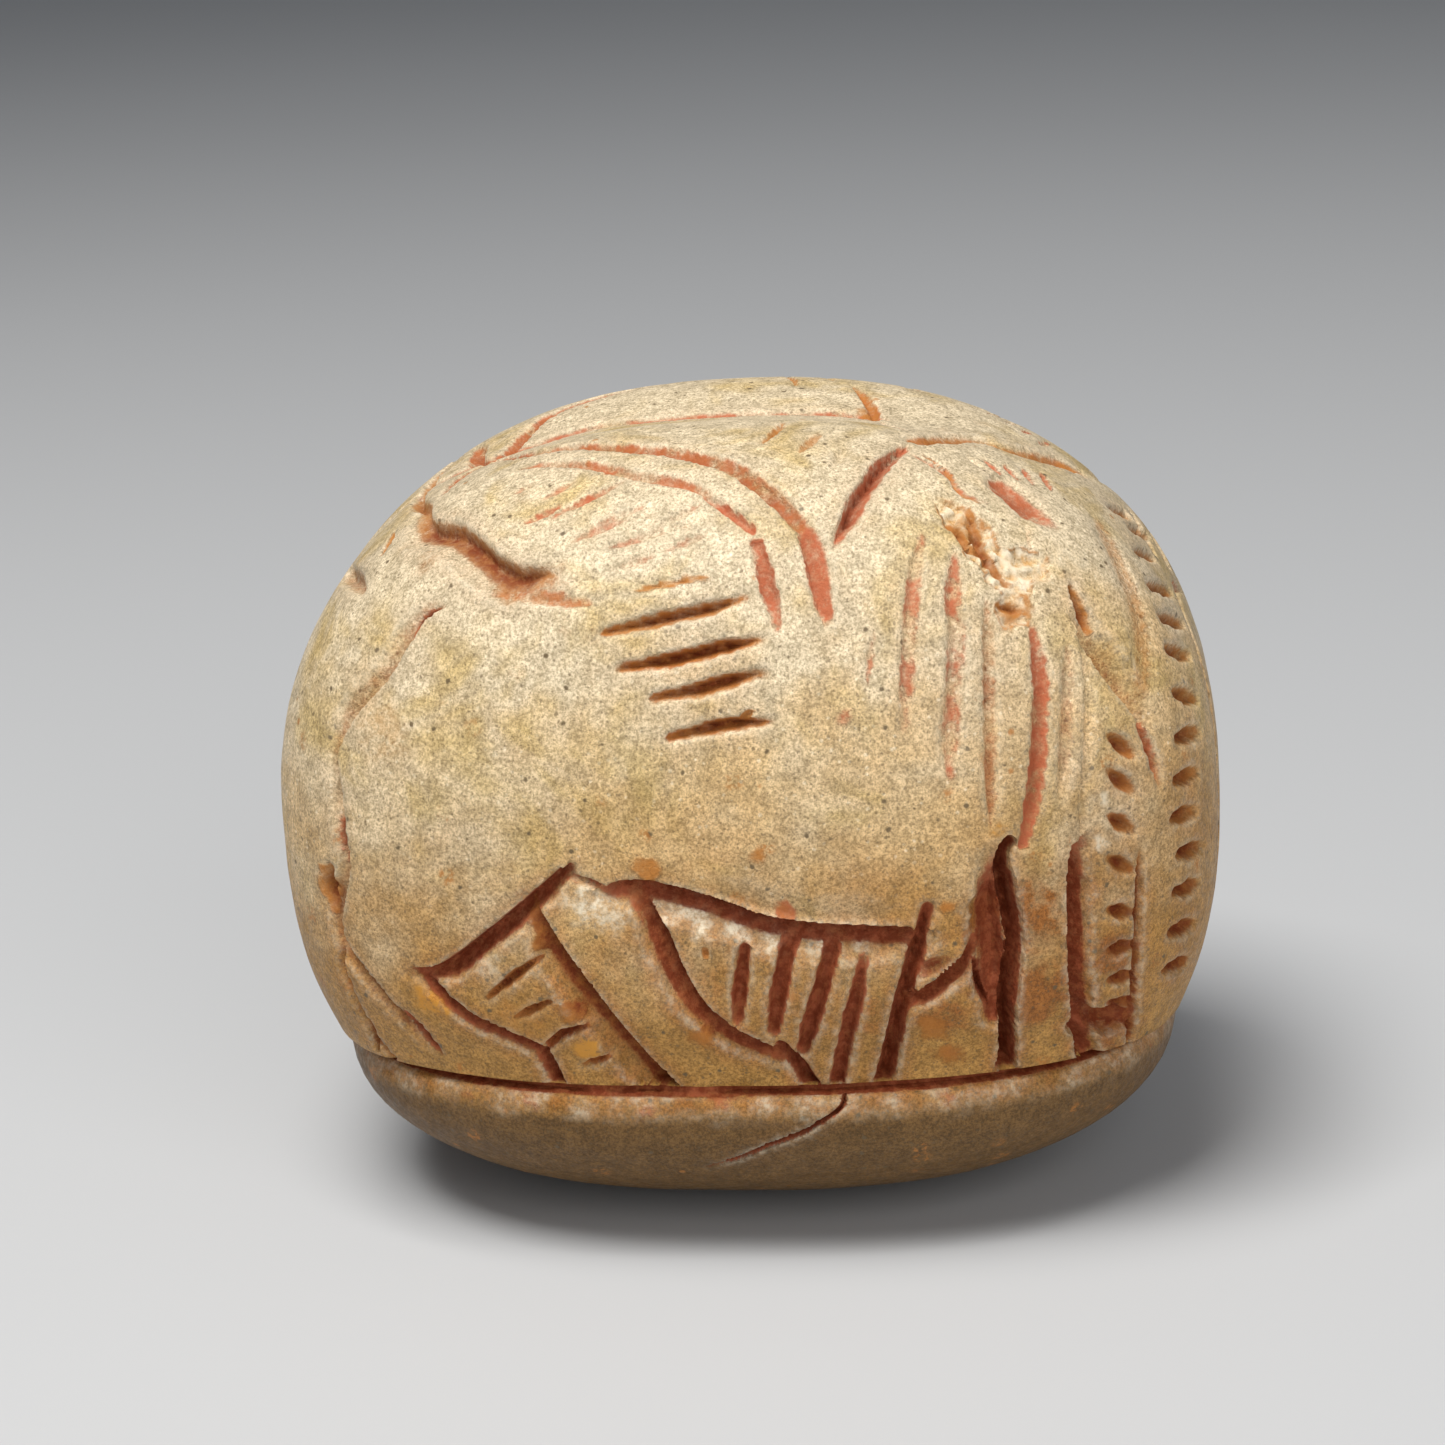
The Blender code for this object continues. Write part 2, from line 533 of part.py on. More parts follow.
def stone_material():
    material = bpy.data.materials.new("speckled_tan_stone")
    material.use_nodes = True
    shader = material.node_tree.nodes["Principled BSDF"]
    shader.inputs["Base Color"].default_value = STONE_COLOUR
    shader.inputs["Roughness"].default_value = STONE_ROUGHNESS
    shader.inputs["Metallic"].default_value = 0.0
    return material


def main():
    for obj in list(bpy.data.objects):
        bpy.data.objects.remove(obj)
    collection = bpy.data.collections.new("carved scarab amulet")
    cutters = bpy.data.collections.new("carving cutters")
    bpy.context.scene.collection.children.link(collection)
    bpy.context.scene.collection.children.link(cutters)
    stone = plain_stone(collection)
    stone.data.materials.append(stone_material())
    for stroke in [*wing_strokes(), *leg_strokes(), *shoulder_strokes(), *head_strokes(), *tail_strokes(),
                   *back_strokes(), *crack_strokes()]:
        cut_stroke(stroke, cutters)
    bore_cutter(cutters)
    carve = stone.modifiers.new("carving", "BOOLEAN")
    carve.operation = "DIFFERENCE"
    carve.solver = "EXACT"
    carve.operand_type = "COLLECTION"
    carve.collection = cutters
    stone.data.shade_smooth()
    stone.data.set_sharp_from_angle(angle=math.radians(SMOOTH_ANGLE))


main()
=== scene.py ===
"""Finishes the carved scarab amulet: its hand-cut, speckled tan stone, on a plain pale stage."""

import math

import bmesh
import bpy
import numpy as np
from bpy.props import FloatProperty, FloatVectorProperty, IntProperty, PointerProperty
from mathutils import Matrix, Vector, noise


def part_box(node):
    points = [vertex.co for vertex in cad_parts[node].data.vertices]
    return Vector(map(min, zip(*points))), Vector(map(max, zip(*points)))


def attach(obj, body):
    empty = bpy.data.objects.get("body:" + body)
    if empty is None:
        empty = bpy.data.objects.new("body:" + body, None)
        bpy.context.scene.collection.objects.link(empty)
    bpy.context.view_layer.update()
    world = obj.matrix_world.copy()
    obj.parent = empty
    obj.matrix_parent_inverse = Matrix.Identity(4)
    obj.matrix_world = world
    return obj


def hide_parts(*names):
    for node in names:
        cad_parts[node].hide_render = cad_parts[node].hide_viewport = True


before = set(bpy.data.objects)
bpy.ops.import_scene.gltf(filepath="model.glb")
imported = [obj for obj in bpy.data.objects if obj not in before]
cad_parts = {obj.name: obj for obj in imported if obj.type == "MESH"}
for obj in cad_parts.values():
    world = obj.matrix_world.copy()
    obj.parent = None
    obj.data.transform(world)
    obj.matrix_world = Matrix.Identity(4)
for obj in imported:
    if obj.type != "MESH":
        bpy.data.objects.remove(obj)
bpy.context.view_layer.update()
SOLID = "carved_scarab"
SOLID_LOW, SOLID_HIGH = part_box(SOLID)

bl_info = {
    "name": "Carved Scarab Amulet",
    "version": (1, 0, 0),
    "blender": (4, 5, 0),
    "location": "View3D > Sidebar > Scarab",
    "description": "Cuts and finishes a carved stone scarab bead on a plain stage",
    "category": "Object",
}

MM = 0.001
NEAR, FAR = 1, -1

# The ovoid body above the groove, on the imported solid's length and width and the same curves
LENGTH = SOLID_HIGH[0] - SOLID_LOW[0]
WIDTH = SOLID_HIGH[1] - SOLID_LOW[1]
BACK_RISE = 0.0194
FLANK_DROP = 0.0211
LENGTH_POWER = 2.27
WIDTH_POWER = 3.5
HEIGHT_POWER = 2.34

# The dip between the two wing cases, and the tuck of the flanks over the folded legs
DIP_DEPTH = 0.0008
DIP_WIDTH = 0.0034
DIP_MIDDLE = -0.0020
DIP_REACH = 0.0125
LEG_TUCK = 0.0008
LEG_HEIGHT = 0.0048

# The rounded base below the groove
GROOVE_DROP = 0.0098
GROOVE_HEIGHT = 0.0005
GROOVE_INSET = 0.0010
GROOVE_WAVER = 0.0030
BASE_LENGTH = 0.0416
BASE_WIDTH = 0.0332
BASE_EDGE = 0.0009
BASE_SLOPE = 0.0004
BELLY_DEPTH = 0.0083
BASE_POWER = 2.65
FLAT_SPOT_CUT = 0.0005

# The threading hole
BORE_DIAMETER = 0.0032
BORE_HEIGHT = 0.0135

# The side drawing: a sheet through the stone's middle, squared up to a low sighting point
SIGHT_DISTANCE = 0.1732
SIGHT_ELEVATION = 17.5
SIGHT_TURN = 5.0
SIGHT_ROLL = -2.6
DRAWING_SHIFT = 0.65

# How the cuts are laid and shaped, and how residue, pale wear with painted highlights, and brown dirt with
# painted shade follow them
ROUTE_STEP = 0.0005
RUN_OUT = 0.0020
RUN_OUT_SHARE = 0.35
LEAST_WIDTH = 0.75
HAND_WAVER = 0.14
WAVER_LENGTHS = (0.0008, 0.0008 / 3)
CLAY_START = 0.02
CLAY_RISE = 0.36
CLAY_REACH = 0.0011
CLAY_FADE = 0.0006
LIP_WEAR = 0.00018
FULL_WEAR_DEPTH = 0.0006
GRIME_AND_SHADE_REACH = 0.0006
FULL_GRIME_AND_SHADE_DEPTH = 0.0010

# The depth of cut at which residue and its painted shade are darkest, and the heights between which the
# patina changes, the underside darkens to patina and painted shade, and the top pales as painted light from
# above
DEEP_CUT = 0.0010
EARTH_SPAN = (0.0252, 0.0122)
UMBER_AND_SHADE_SPAN = (0.0086, 0.0073)
TOP_LIGHT_PAINT_SPAN = (0.022, 0.032)
END_EARTH = 0.02
HEAD_EARTH = 0.09

# The groove's ceiling and floor, as shares of its height
GROOVE_SHARES = (0.15, 0.75)
GROOVE_CALM = 0.1
RIM_SHARES = (0.1, 0.4, 1)

# The size of the patches of wear and red on the rim, and how strong they are; the rim's pale wear is also a
# painted highlight where light falls on the ledge
RIM_SMEARS = 0.0016
RIM_WEAR = 0.0012
RIM_CLAY_SHARE = 0.5
RIM_WEAR_AND_HIGHLIGHT_SHARE = 1.5
GROOVE_CLAY = 0.9

# The crumbled patch behind the head
BREAK_MARKS = ((10.0, 12.6), (10.9, 11.9), (11.6, 10.9), (12.6, 10.3), (13.6, 10.2), (12.7, 9.3),
               (12.9, 8.0))
BREAK_RADIUS = 0.0010
BREAK_RAGGED = 0.0008
BREAK_DEPTH = 0.00026
BREAK_GRAIN = 0.00036
BREAK_LUMPS = 1.1
BREAK_OCHRE = 0.65
BREAK_WORN = 4
BREAK_RUST = 2.4

# The ragged edges of the dabs of colour, and how far they spread, in radii
STAIN_RAGGED = 0.0006
STAIN_WAVER = 0.6
STAIN_SPREAD = 1.3

# The hand-rubbed surface: the size of its swells and ripples, and the ripples' share
SWELL = 0.006
RIPPLE = 0.0016
RIPPLE_SHARE = 0.35

# How finely points are laid on the stone
HALVINGS = 30
LINE_SAMPLES = 900
SLOPE_STEP = 0.00004

# The mesh
FLAT_BAND = 0.00005
SHARP_ANGLE = 65
LEVEL_ERROR = 1e-7
SNAP = 0.00003
SPLIT_MARGIN = 0.0002
SHORTEST_EDGE = 0.00009
TRIANGLES_PER_SPLIT = 8.5

BASE_TOP = -GROOVE_DROP - GROOVE_HEIGHT
BASE_RIM = BASE_TOP - BASE_EDGE
FLAT_LEVEL = BASE_RIM - BELLY_DEPTH + FLAT_SPOT_CUT
MIDDLE_HEIGHT = -FLAT_LEVEL

# The photograph's frame, in pixels: its side, where the stone's middle stands, and its scale
PHOTO_SIDE = 1445
STONE_X, STONE_Y = 756, 780
PIXELS_PER_MM = 20.0
SENSOR_WIDTH = 36

# The lights: place, side, power and colour. The room's own light: colour and strength
LIGHTS = {
    "key_light": ((-0.10, -0.15, 0.49), 0.26, 3.25, (1.0, 0.96, 0.90)),
    "front_light": ((0.28, -0.52, 0.27), 0.5, 1.85, (1.0, 0.97, 0.93)),
}
ROOM_COLOUR = (0.85, 0.89, 0.95, 1)
ROOM_STRENGTH = 0.14
FLOOR_SIZE = 4.0

# Noise on the stone: size, detail, roughness and distortion
PATINA_DRIFT = (0.004, 3, 0.6)
PALE_ZONES = (0.010, 3, 0.55, 0.4)
OLIVE_ZONES = (0.005, 3, 0.6, 0.5)
CLAY_ZONES = (0.0017, 3, 0.6)
BLOTCHES = (0.0009, 4, 0.7)
CLOTS = (0.0007, 4, 0.7)
DABS = (0.0005, 4, 0.7)
CRUST = (0.00035, 4, 0.75)
FLECK_EDGES = (0.0003, 3, 0.7)
SPECKLE = (0.00016, 4, 0.85)
GLOSS = (0.0004, 2)
SOFT_RELIEF = (0.0009, 3)
FINE_RELIEF = (0.00022, 4, 0.7)

# The bend of the grains' places, with its size and reach, and the stone's fine relief and gloss
GRAIN_BEND = (0.0002, 0.00008)
RELIEF_STRENGTH = 0.6
RELIEF_HEIGHT = 0.00007
STONE_SPECULAR = 0.22

# Grains in the stone: spacing, radius and the share that is there, with the strength of the dark ones
DARK_GRAINS = (
    ((0.00018, 0.00007, 0.45), 0.5), ((0.00034, 0.00010, 0.3), 0.55), ((0.0009, 0.00016, 0.35), 0.9),
)
PALE_GRAINS = (0.00040, 0.00012, 0.35)
RUST_GRAINS = (0.0016, 0.00022, 0.15)
RUST_FLECKS = (0.0019, 0.00060, 0.4)
GRAIN_EDGE = 0.45


class ScarabSizes(bpy.types.PropertyGroup):
    """Sizes of the visible stone."""

    first_cuts: IntProperty(name="First Cuts", description="Cuts along each side of the block", default=46)
    refine_passes: IntProperty(name="Refining", description="Splits of the mesh near the cuts", default=4)
    most_triangles: IntProperty(name="Most Triangles", description="Where splitting stops", default=180000)
    cut_error: FloatProperty(
        name="Cut Error", description="How far a face may stray from a cut", default=0.00003, unit="LENGTH"
    )
    unevenness: FloatProperty(
        name="Unevenness", description="How far the rubbed surface wanders", default=0.00012, unit="LENGTH"
    )
    bore_diameter: FloatProperty(
        name="Threading Hole", description="Diameter of the hole", default=BORE_DIAMETER, unit="LENGTH"
    )


def tint(name, description, default):
    return FloatVectorProperty(name=name, description=description, subtype="COLOR", size=3, default=default)


class ScarabColours(bpy.types.PropertyGroup):
    """Colours of the stone and of what has settled in its cuts."""

    sand: tint("Sand", "Main colour of the stone", (0.62, 0.44, 0.23))
    pale: tint("Pale Sand", "Paler, greyer zones", (0.66, 0.575, 0.43))
    olive: tint("Olive", "Yellow-olive zones", (0.52, 0.38, 0.15))
    earth: tint("Earth", "Brown patina of the legs", (0.42, 0.225, 0.058))
    # This colour is brown dirt beside the cuts and painted shade in the recesses and creases.
    grime_and_shade: tint("Grime", "Brown dirt beside the cuts", (0.30, 0.115, 0.026))
    # This colour is the underside's brown patina, darkened as painted shade.
    umber_and_shade: tint("Umber", "Dark patina of the underside", (0.085, 0.046, 0.019))
    grain: tint("Dark Grain", "Scattered dark grains", (0.12, 0.085, 0.045))
    # This pale colour serves the pale grains, the rubbed lips and the painted highlights.
    lip: tint("Worn Lips", "Rubbed edges of the cuts", (0.82, 0.73, 0.56))
    rust: tint("Rust", "Orange-brown stains", (0.43, 0.17, 0.035))
    ochre: tint("Ochre", "Yellow-orange stains", (0.56, 0.26, 0.04))
    clay: tint("Red Clay", "Residue in shallow cuts", (0.46, 0.125, 0.055))
    # This colour is dry residue, deepened as painted shade in the deepest cuts.
    dried_clay_and_shade: tint("Dried Clay", "Residue in deep cuts", (0.17, 0.028, 0.006))
    floor: tint("Floor", "Colour of the plain floor", (0.52, 0.54, 0.57))


def ease(t):
    """Runs smoothly from 0 to 1 as t does."""
    t = np.clip(t, 0, 1)
    return t * t * (3 - 2 * t)


def unit(vectors):
    return vectors / np.linalg.norm(vectors, axis=-1, keepdims=True)


def dip(points):
    """How far the back sinks along the line between the wing cases."""
    across = (points[..., 1] / DIP_WIDTH) ** 2
    along = ((points[..., 0] - DIP_MIDDLE) / DIP_REACH) ** 6
    return DIP_DEPTH * np.exp(-across - along)


def body_value(points):
    """Under 1 inside the body's full ovoid, with heights counted from its widest level."""
    x, y, z = points[..., 0], points[..., 1], points[..., 2]
    z = np.where(z > 0, z + dip(points), z)
    half_width = WIDTH / 2 - LEG_TUCK * ease((LEG_HEIGHT - GROOVE_DROP - z) / LEG_HEIGHT)
    return (
        np.abs(2 * x / LENGTH) ** LENGTH_POWER
        + np.abs(y / half_width) ** WIDTH_POWER
        + np.abs(z / np.where(z > 0, BACK_RISE, FLANK_DROP)) ** HEIGHT_POWER
    )


def base_value(points):
    """Under 1 inside the base and its rounded belly."""
    x, y, z = points[..., 0], points[..., 1], points[..., 2]
    rim = BASE_SLOPE * (1 - np.sqrt(np.clip((BASE_TOP - z) / BASE_EDGE, 0, 1)))
    along, across = np.abs(x / (BASE_LENGTH / 2 - rim)), np.abs(y / (BASE_WIDTH / 2 - rim))
    depth = np.clip(BASE_RIM - z, 0, None) / BELLY_DEPTH
    return (along**BASE_POWER + across**BASE_POWER) ** (2 / BASE_POWER) + depth**2


def on_body(points):
    """Whether points belong to the body above the groove."""
    return points[..., 2] > -GROOVE_DROP - LEVEL_ERROR


def stone_value(points):
    """Under 1 inside the stone."""
    value = np.where(on_body(points), body_value(points), base_value(points))
    return np.where(points[..., 2] < FLAT_LEVEL, 2, value)


def normals_at(points):
    """The outward directions at points of the stone's surface."""
    slopes = []
    for axis in np.eye(3) * SLOPE_STEP:
        body = body_value(points + axis) - body_value(points - axis)
        base = base_value(points + axis) - base_value(points - axis)
        slopes.append(np.where(on_body(points), body, base))
    return unit(np.stack(slopes, -1))


def halve(outside, inside, value):
    """Halves the way between points outside and inside a form until both lie on its surface."""
    for _ in range(HALVINGS):
        middle = (outside + inside) / 2
        within = (value(middle) < 1)[..., None]
        inside = np.where(within, middle, inside)
        outside = np.where(within, outside, middle)
    return outside


def straight_out(points, value=body_value):
    """Where lines from the stone's middle through points leave a form."""
    ways = unit(points)
    return halve(ways * LENGTH, ways * MM, value)


def surface_along(starts, directions):
    """Where lines first meet the stone, or the surface nearest to a line that misses it."""
    reach = (np.linalg.norm(starts, axis=1) + LENGTH)[:, None, None]
    shares = np.linspace(0, 1, LINE_SAMPLES)[None, :, None]
    line = starts[:, None, :] + directions[:, None, :] * reach * shares
    value = stone_value(line)
    hit = value < 1
    first = np.where(hit.any(1), hit.argmax(1), value.argmin(1))
    rows = np.arange(len(starts))
    found = halve(line[rows, np.maximum(first - 1, 0)], line[rows, first], stone_value)
    missed = ~hit.any(1)
    if missed.any():
        found[missed] = straight_out(line[rows[missed], first[missed]], stone_value)
    return found


def sight_axes():
    """The side drawing's right and up directions, and the direction from the stone to the sighting point."""
    rise, turn, roll = (math.radians(a) for a in (SIGHT_ELEVATION, SIGHT_TURN, SIGHT_ROLL))
    back = Vector((math.cos(rise) * math.sin(turn), -math.cos(rise) * math.cos(turn), math.sin(rise)))
    right = Vector((math.cos(turn), math.sin(turn), 0))
    up = back.cross(right)
    rolled = right * math.cos(roll) + up * math.sin(roll)
    return rolled, up * math.cos(roll) - right * math.sin(roll), back


def on_side(marks):
    """The points of the near flank under marks on the side drawing, in millimetres from its middle."""
    right, up, back = (np.array(axis) for axis in sight_axes())
    sheet = marks[:, :1] * MM * right + (marks[:, 1:] + DRAWING_SHIFT) * MM * up
    eye = back * SIGHT_DISTANCE
    return surface_along(np.repeat(eye[None], len(marks), 0), unit(sheet - eye))


def straight_at(marks, axis, sign):
    """The points met by lines that come straight in along one axis at marks across it."""
    starts = np.zeros((len(marks), 3))
    starts[:, [i for i in range(3) if i != axis]] = marks * MM
    starts[:, axis] = sign * LENGTH
    inwards = np.zeros((len(marks), 3))
    inwards[:, axis] = -sign
    return surface_along(starts, inwards)


def on_back(marks):
    return straight_at(marks, 2, 1)


def on_underside(marks):
    return straight_at(marks, 2, -1)


def on_front(marks):
    return straight_at(marks, 0, 1)


def on_tail(marks):
    return straight_at(marks, 0, -1)


def smooth_route(marks):
    """Marks a route's step apart along a smooth line through the given ones."""
    marks = np.reshape(marks, (-1, 2))
    ends = [marks[0], *marks, marks[-1]]
    found = []
    for four in zip(ends, ends[1:], ends[2:], ends[3:]):
        a, b, c, d = four
        count = max(2, round(np.linalg.norm(c - b) * MM / ROUTE_STEP))
        t = np.arange(count)[:, None] / count
        bend, twist = 2 * a - 5 * b + 4 * c - d, 3 * b - a - 3 * c + d
        found.append(0.5 * (2 * b + (c - a) * t + bend * t**2 + twist * t**3))
    return np.vstack([*found, [marks[-1]]])


class Stroke:
    """One chisel cut: marks on a drawing, across and up by turns, depth and widths, in millimetres.

    Left and right are those of someone who looks at the surface and follows the marks. The ends
    are shares of the full depth: 0 runs out to nothing and 1 stops square. One number stands for
    both widths or both ends. Clay is how much red residue lies in the cut, rust how much orange,
    and bottom rises from 1, a sharp one, to a flat one.
    """

    def __init__(self, name, marks, depth, wide, ends=0, clay=0.8, rust=0, bottom=1.4, lay=on_side,
                 sides=(NEAR, FAR), on_base=False):
        self.name = name
        self.depth = depth * MM
        self.wide = [w * MM for w in np.broadcast_to(wide, 2)]
        self.ends = np.broadcast_to(ends, 2)
        self.sides = sides
        self.clay = clay
        self.rust = rust
        self.bottom = bottom
        self.on_base = on_base
        self.route = lay(smooth_route(marks))
        self.normals = normals_at(self.route)
        self.spans = np.linalg.norm(np.diff(self.route, axis=0), axis=1)

    def share(self, gone):
        """How deep the cut is, as a share of its full depth, at a way gone along it."""
        total = self.spans.sum()
        run = min(RUN_OUT, RUN_OUT_SHARE * total)
        start, end = self.ends
        run_in = start + (1 - start) * gone / run
        run_out = end + (1 - end) * (total - gone) / run
        return np.clip(np.minimum(run_in, run_out), 0, 1)

    def across(self, points, margin):
        """For the points near the route: which they are, how far they lie to its right, and the way gone."""
        reach = max(self.wide) + margin
        low, high = self.route.min(0) - reach, self.route.max(0) + reach
        chosen = np.nonzero(((points > low) & (points < high)).all(1))[0]
        q = points[chosen]
        best = np.full(len(q), 1.0)
        side = np.zeros(len(q))
        gone = np.zeros(len(q))
        done = 0.0
        for a, b, normal, span in zip(self.route, self.route[1:], self.normals, self.spans):
            if span > 0:
                way = (b - a) / span
                t = np.clip((q - a) @ way, 0, span)
                off = q - a - t[:, None] * way
                away = np.linalg.norm(off, axis=1)
                closer = away < best
                best = np.where(closer, away, best)
                side = np.where(closer, off @ np.cross(way, normal), side)
                gone = np.where(closer, done + t, gone)
                done += span
        near = best < reach
        return chosen[near], np.where(side < 0, -best, best)[near], gone[near]

    def profile(self, points):
        """For the points near the cut: which they are, its depth there and at its bottom as shares of
        its full depth, how far its lip is, and how much of its residue reaches there."""
        chosen, right, gone = self.across(points, 2 * GRIME_AND_SHADE_REACH)
        share = self.share(gone)
        waver = np.ones(len(chosen))
        for size in WAVER_LENGTHS:
            waver += HAND_WAVER * wander(points[chosen], size, len(self.name))
        wide = np.where(right < 0, *self.wide) * np.maximum(share, LEAST_WIDTH) * waver
        left = np.clip(1 - (np.abs(right) / wide) ** self.bottom, 0, 1)
        filled = ease((share * left - CLAY_START) / CLAY_RISE)
        filled *= ease((CLAY_REACH - np.abs(right)) / CLAY_FADE)
        return chosen, left, share, np.abs(right) - wide, filled


# The cuts: name, marks, depth and widths, then ends, clay, rust and bottom where they aren't a Stroke's own.
# The wing cases come first: their edges, the lens between them and the hatching of the lower wing
WING_CUTS = (
    ("wing_edge", (-16, 13.5, -14.5, 14.7, -12.8, 15.4, -11.2, 15.7, -9, 16.1, -6, 16, -4.1, 15.8,
     -2.8, 15.5, -1.4, 15.1, 0, 14.2, 1.4, 13, 2.1, 12.1), 0.55, (0.6, 0.45), (0, 0.8), 0.9, 0.35, 2),
    ("wing_edge_end", (1.6, 13, 2.1, 12, 2.4, 11.1, 2.7, 9.9, 2.9, 8.8, 3.2, 7.7), 0.5, (1.05, 0.2),
     (0, 0.8), 1),
    ("inner_edge", (-12.2, 14.9, -10.6, 15.2, -9, 15.2, -7.9, 15.1, -6.2, 14.7, -4.6, 14.4, -3.5, 14.2,
     -2.4, 13.7), 0.4, (0.45, 0.35), (0, 0.6), 0.7, 0.3),
    ("inner_edge_end", (-2.5, 13.6, -1.3, 12.8, -0.2, 11.9), 0.4, 0.28, (0.7, 0.9), 1, 0, 3),
    ("inner_bar", (0, 11.2, 0.4, 9.9, 0.6, 8.9, 0.9, 7.8, 1, 7), 0.45, 0.42, (0.8, 0.3), 1, 0, 3),
    ("shoulder_edge", (7.3, 16.1, 6.2, 15.4, 5.5, 14.4, 4.9, 13.6, 4.5, 12.6, 4.1, 11.8, 3.8, 10.7), 0.75,
     (0.75, 0.25), (0.6, 0), 1),
    ("wing_heel", (-16.5, 12.9, -16.4, 12.2, -15.1, 12, -13.9, 11.1, -12.8, 10.1, -11.9, 9.8, -10.6, 9.8,
     -9.6, 9.5), 0.9, (0.45, 1.7), (0.4, 0), 0.1, 0.6, 1.1),
    ("flank_top", (-13.8, 8.5, -12.9, 8.6, -11.4, 8.4, -9.1, 8.1, -7.8, 8.1), 0.25, (0.7, 0.2), 0, 0.6, 0.4),
    ("flank_edge", (-15.3, 8.3, -16.6, 7.6, -17.5, 6.3, -18.5, 4.6, -20.1, 2.8, -21.1, 0.8), 0.5, (0.2, 1),
     (0, 0.5), 0.25, 0.3),
    ("heel_mark", (-15.7, 8.1, -16.6, 7.6, -17.1, 7, -17.5, 6.4), 0.75, (0.18, 0.3), (0.3, 0), 1),
    ("tail_tick", (-18.1, 11.9, -18.5, 11.1, -18.9, 10.5), 0.35, 0.25, 0, 0.2, 1),
    ("tail_dent", (-21, 9.9, -20.2, 9.5, -19.6, 8.6), 0.7, 0.6, (1, 0), 0, 0.35),
    ("wing_hatch_1", (-7.6, 6.8, -4.9, 7.5, -2.2, 8.1, 0, 8.7), 0.7, (0.3, 0.5), (0.5, 0), 0.6, 0.7),
    ("wing_hatch_2", (-6.8, 5, -4.1, 5.5, -1.7, 6.1, 0.8, 6.5), 0.85, (0.32, 0.52), (0.5, 0), 0.8, 0.7),
    ("wing_hatch_3", (-5.1, 3.5, -2.8, 4, -0.6, 4.6, 1, 4.8), 0.8, (0.32, 0.52), (0.5, 0), 0.8, 0.7),
    ("wing_hatch_4", (-4.3, 1.5, -1.9, 2.1, -0.9, 2.2, 1, 2.3), 0.8, (0.32, 0.48), (0.5, 0.1), 0.8, 0.7),
    ("hatch_fork", (-1, 2.3, 0, 2.9), 0.35, 0.2, (0.8, 0), 0.2, 0.8),
    ("faint_hatch", (-6.4, 8.8, -4, 9.3, -2.1, 9.6), 0.18, (0.15, 0.22), 0, 0.1, 0.8),
    ("back_tick_1", (1.5, 17.4, 0.1, 16.1), 0.3, 0.25, 0, 0.2, 0.7),
    ("back_tick_2", (3.3, 16.9, 2, 15.7), 0.3, 0.35, 0, 0.1, 0.5),
    ("back_tick_3", (4.6, 16.2, 3.7, 14.9), 0.25, 0.4, 0, 0, 0.1),
)
LENS_SCRATCHES = (
    (-12.3, 13.7, -10.8, 14.4), (-11, 13.3, -8.8, 14.5), (-10.5, 12.4, -6.2, 14.6), (-11.9, 12.1, -9.6, 13.2),
    (-9.9, 11.1, -5.9, 12.7), (-8.5, 11.9, -5.3, 13.3), (-7.9, 10.8, -3.2, 12.4), (-5.2, 11.9, -2.6, 13.3),
    (-4.7, 10.8, -2, 11.9), (-7.6, 9.8, -4.8, 10.7),
)

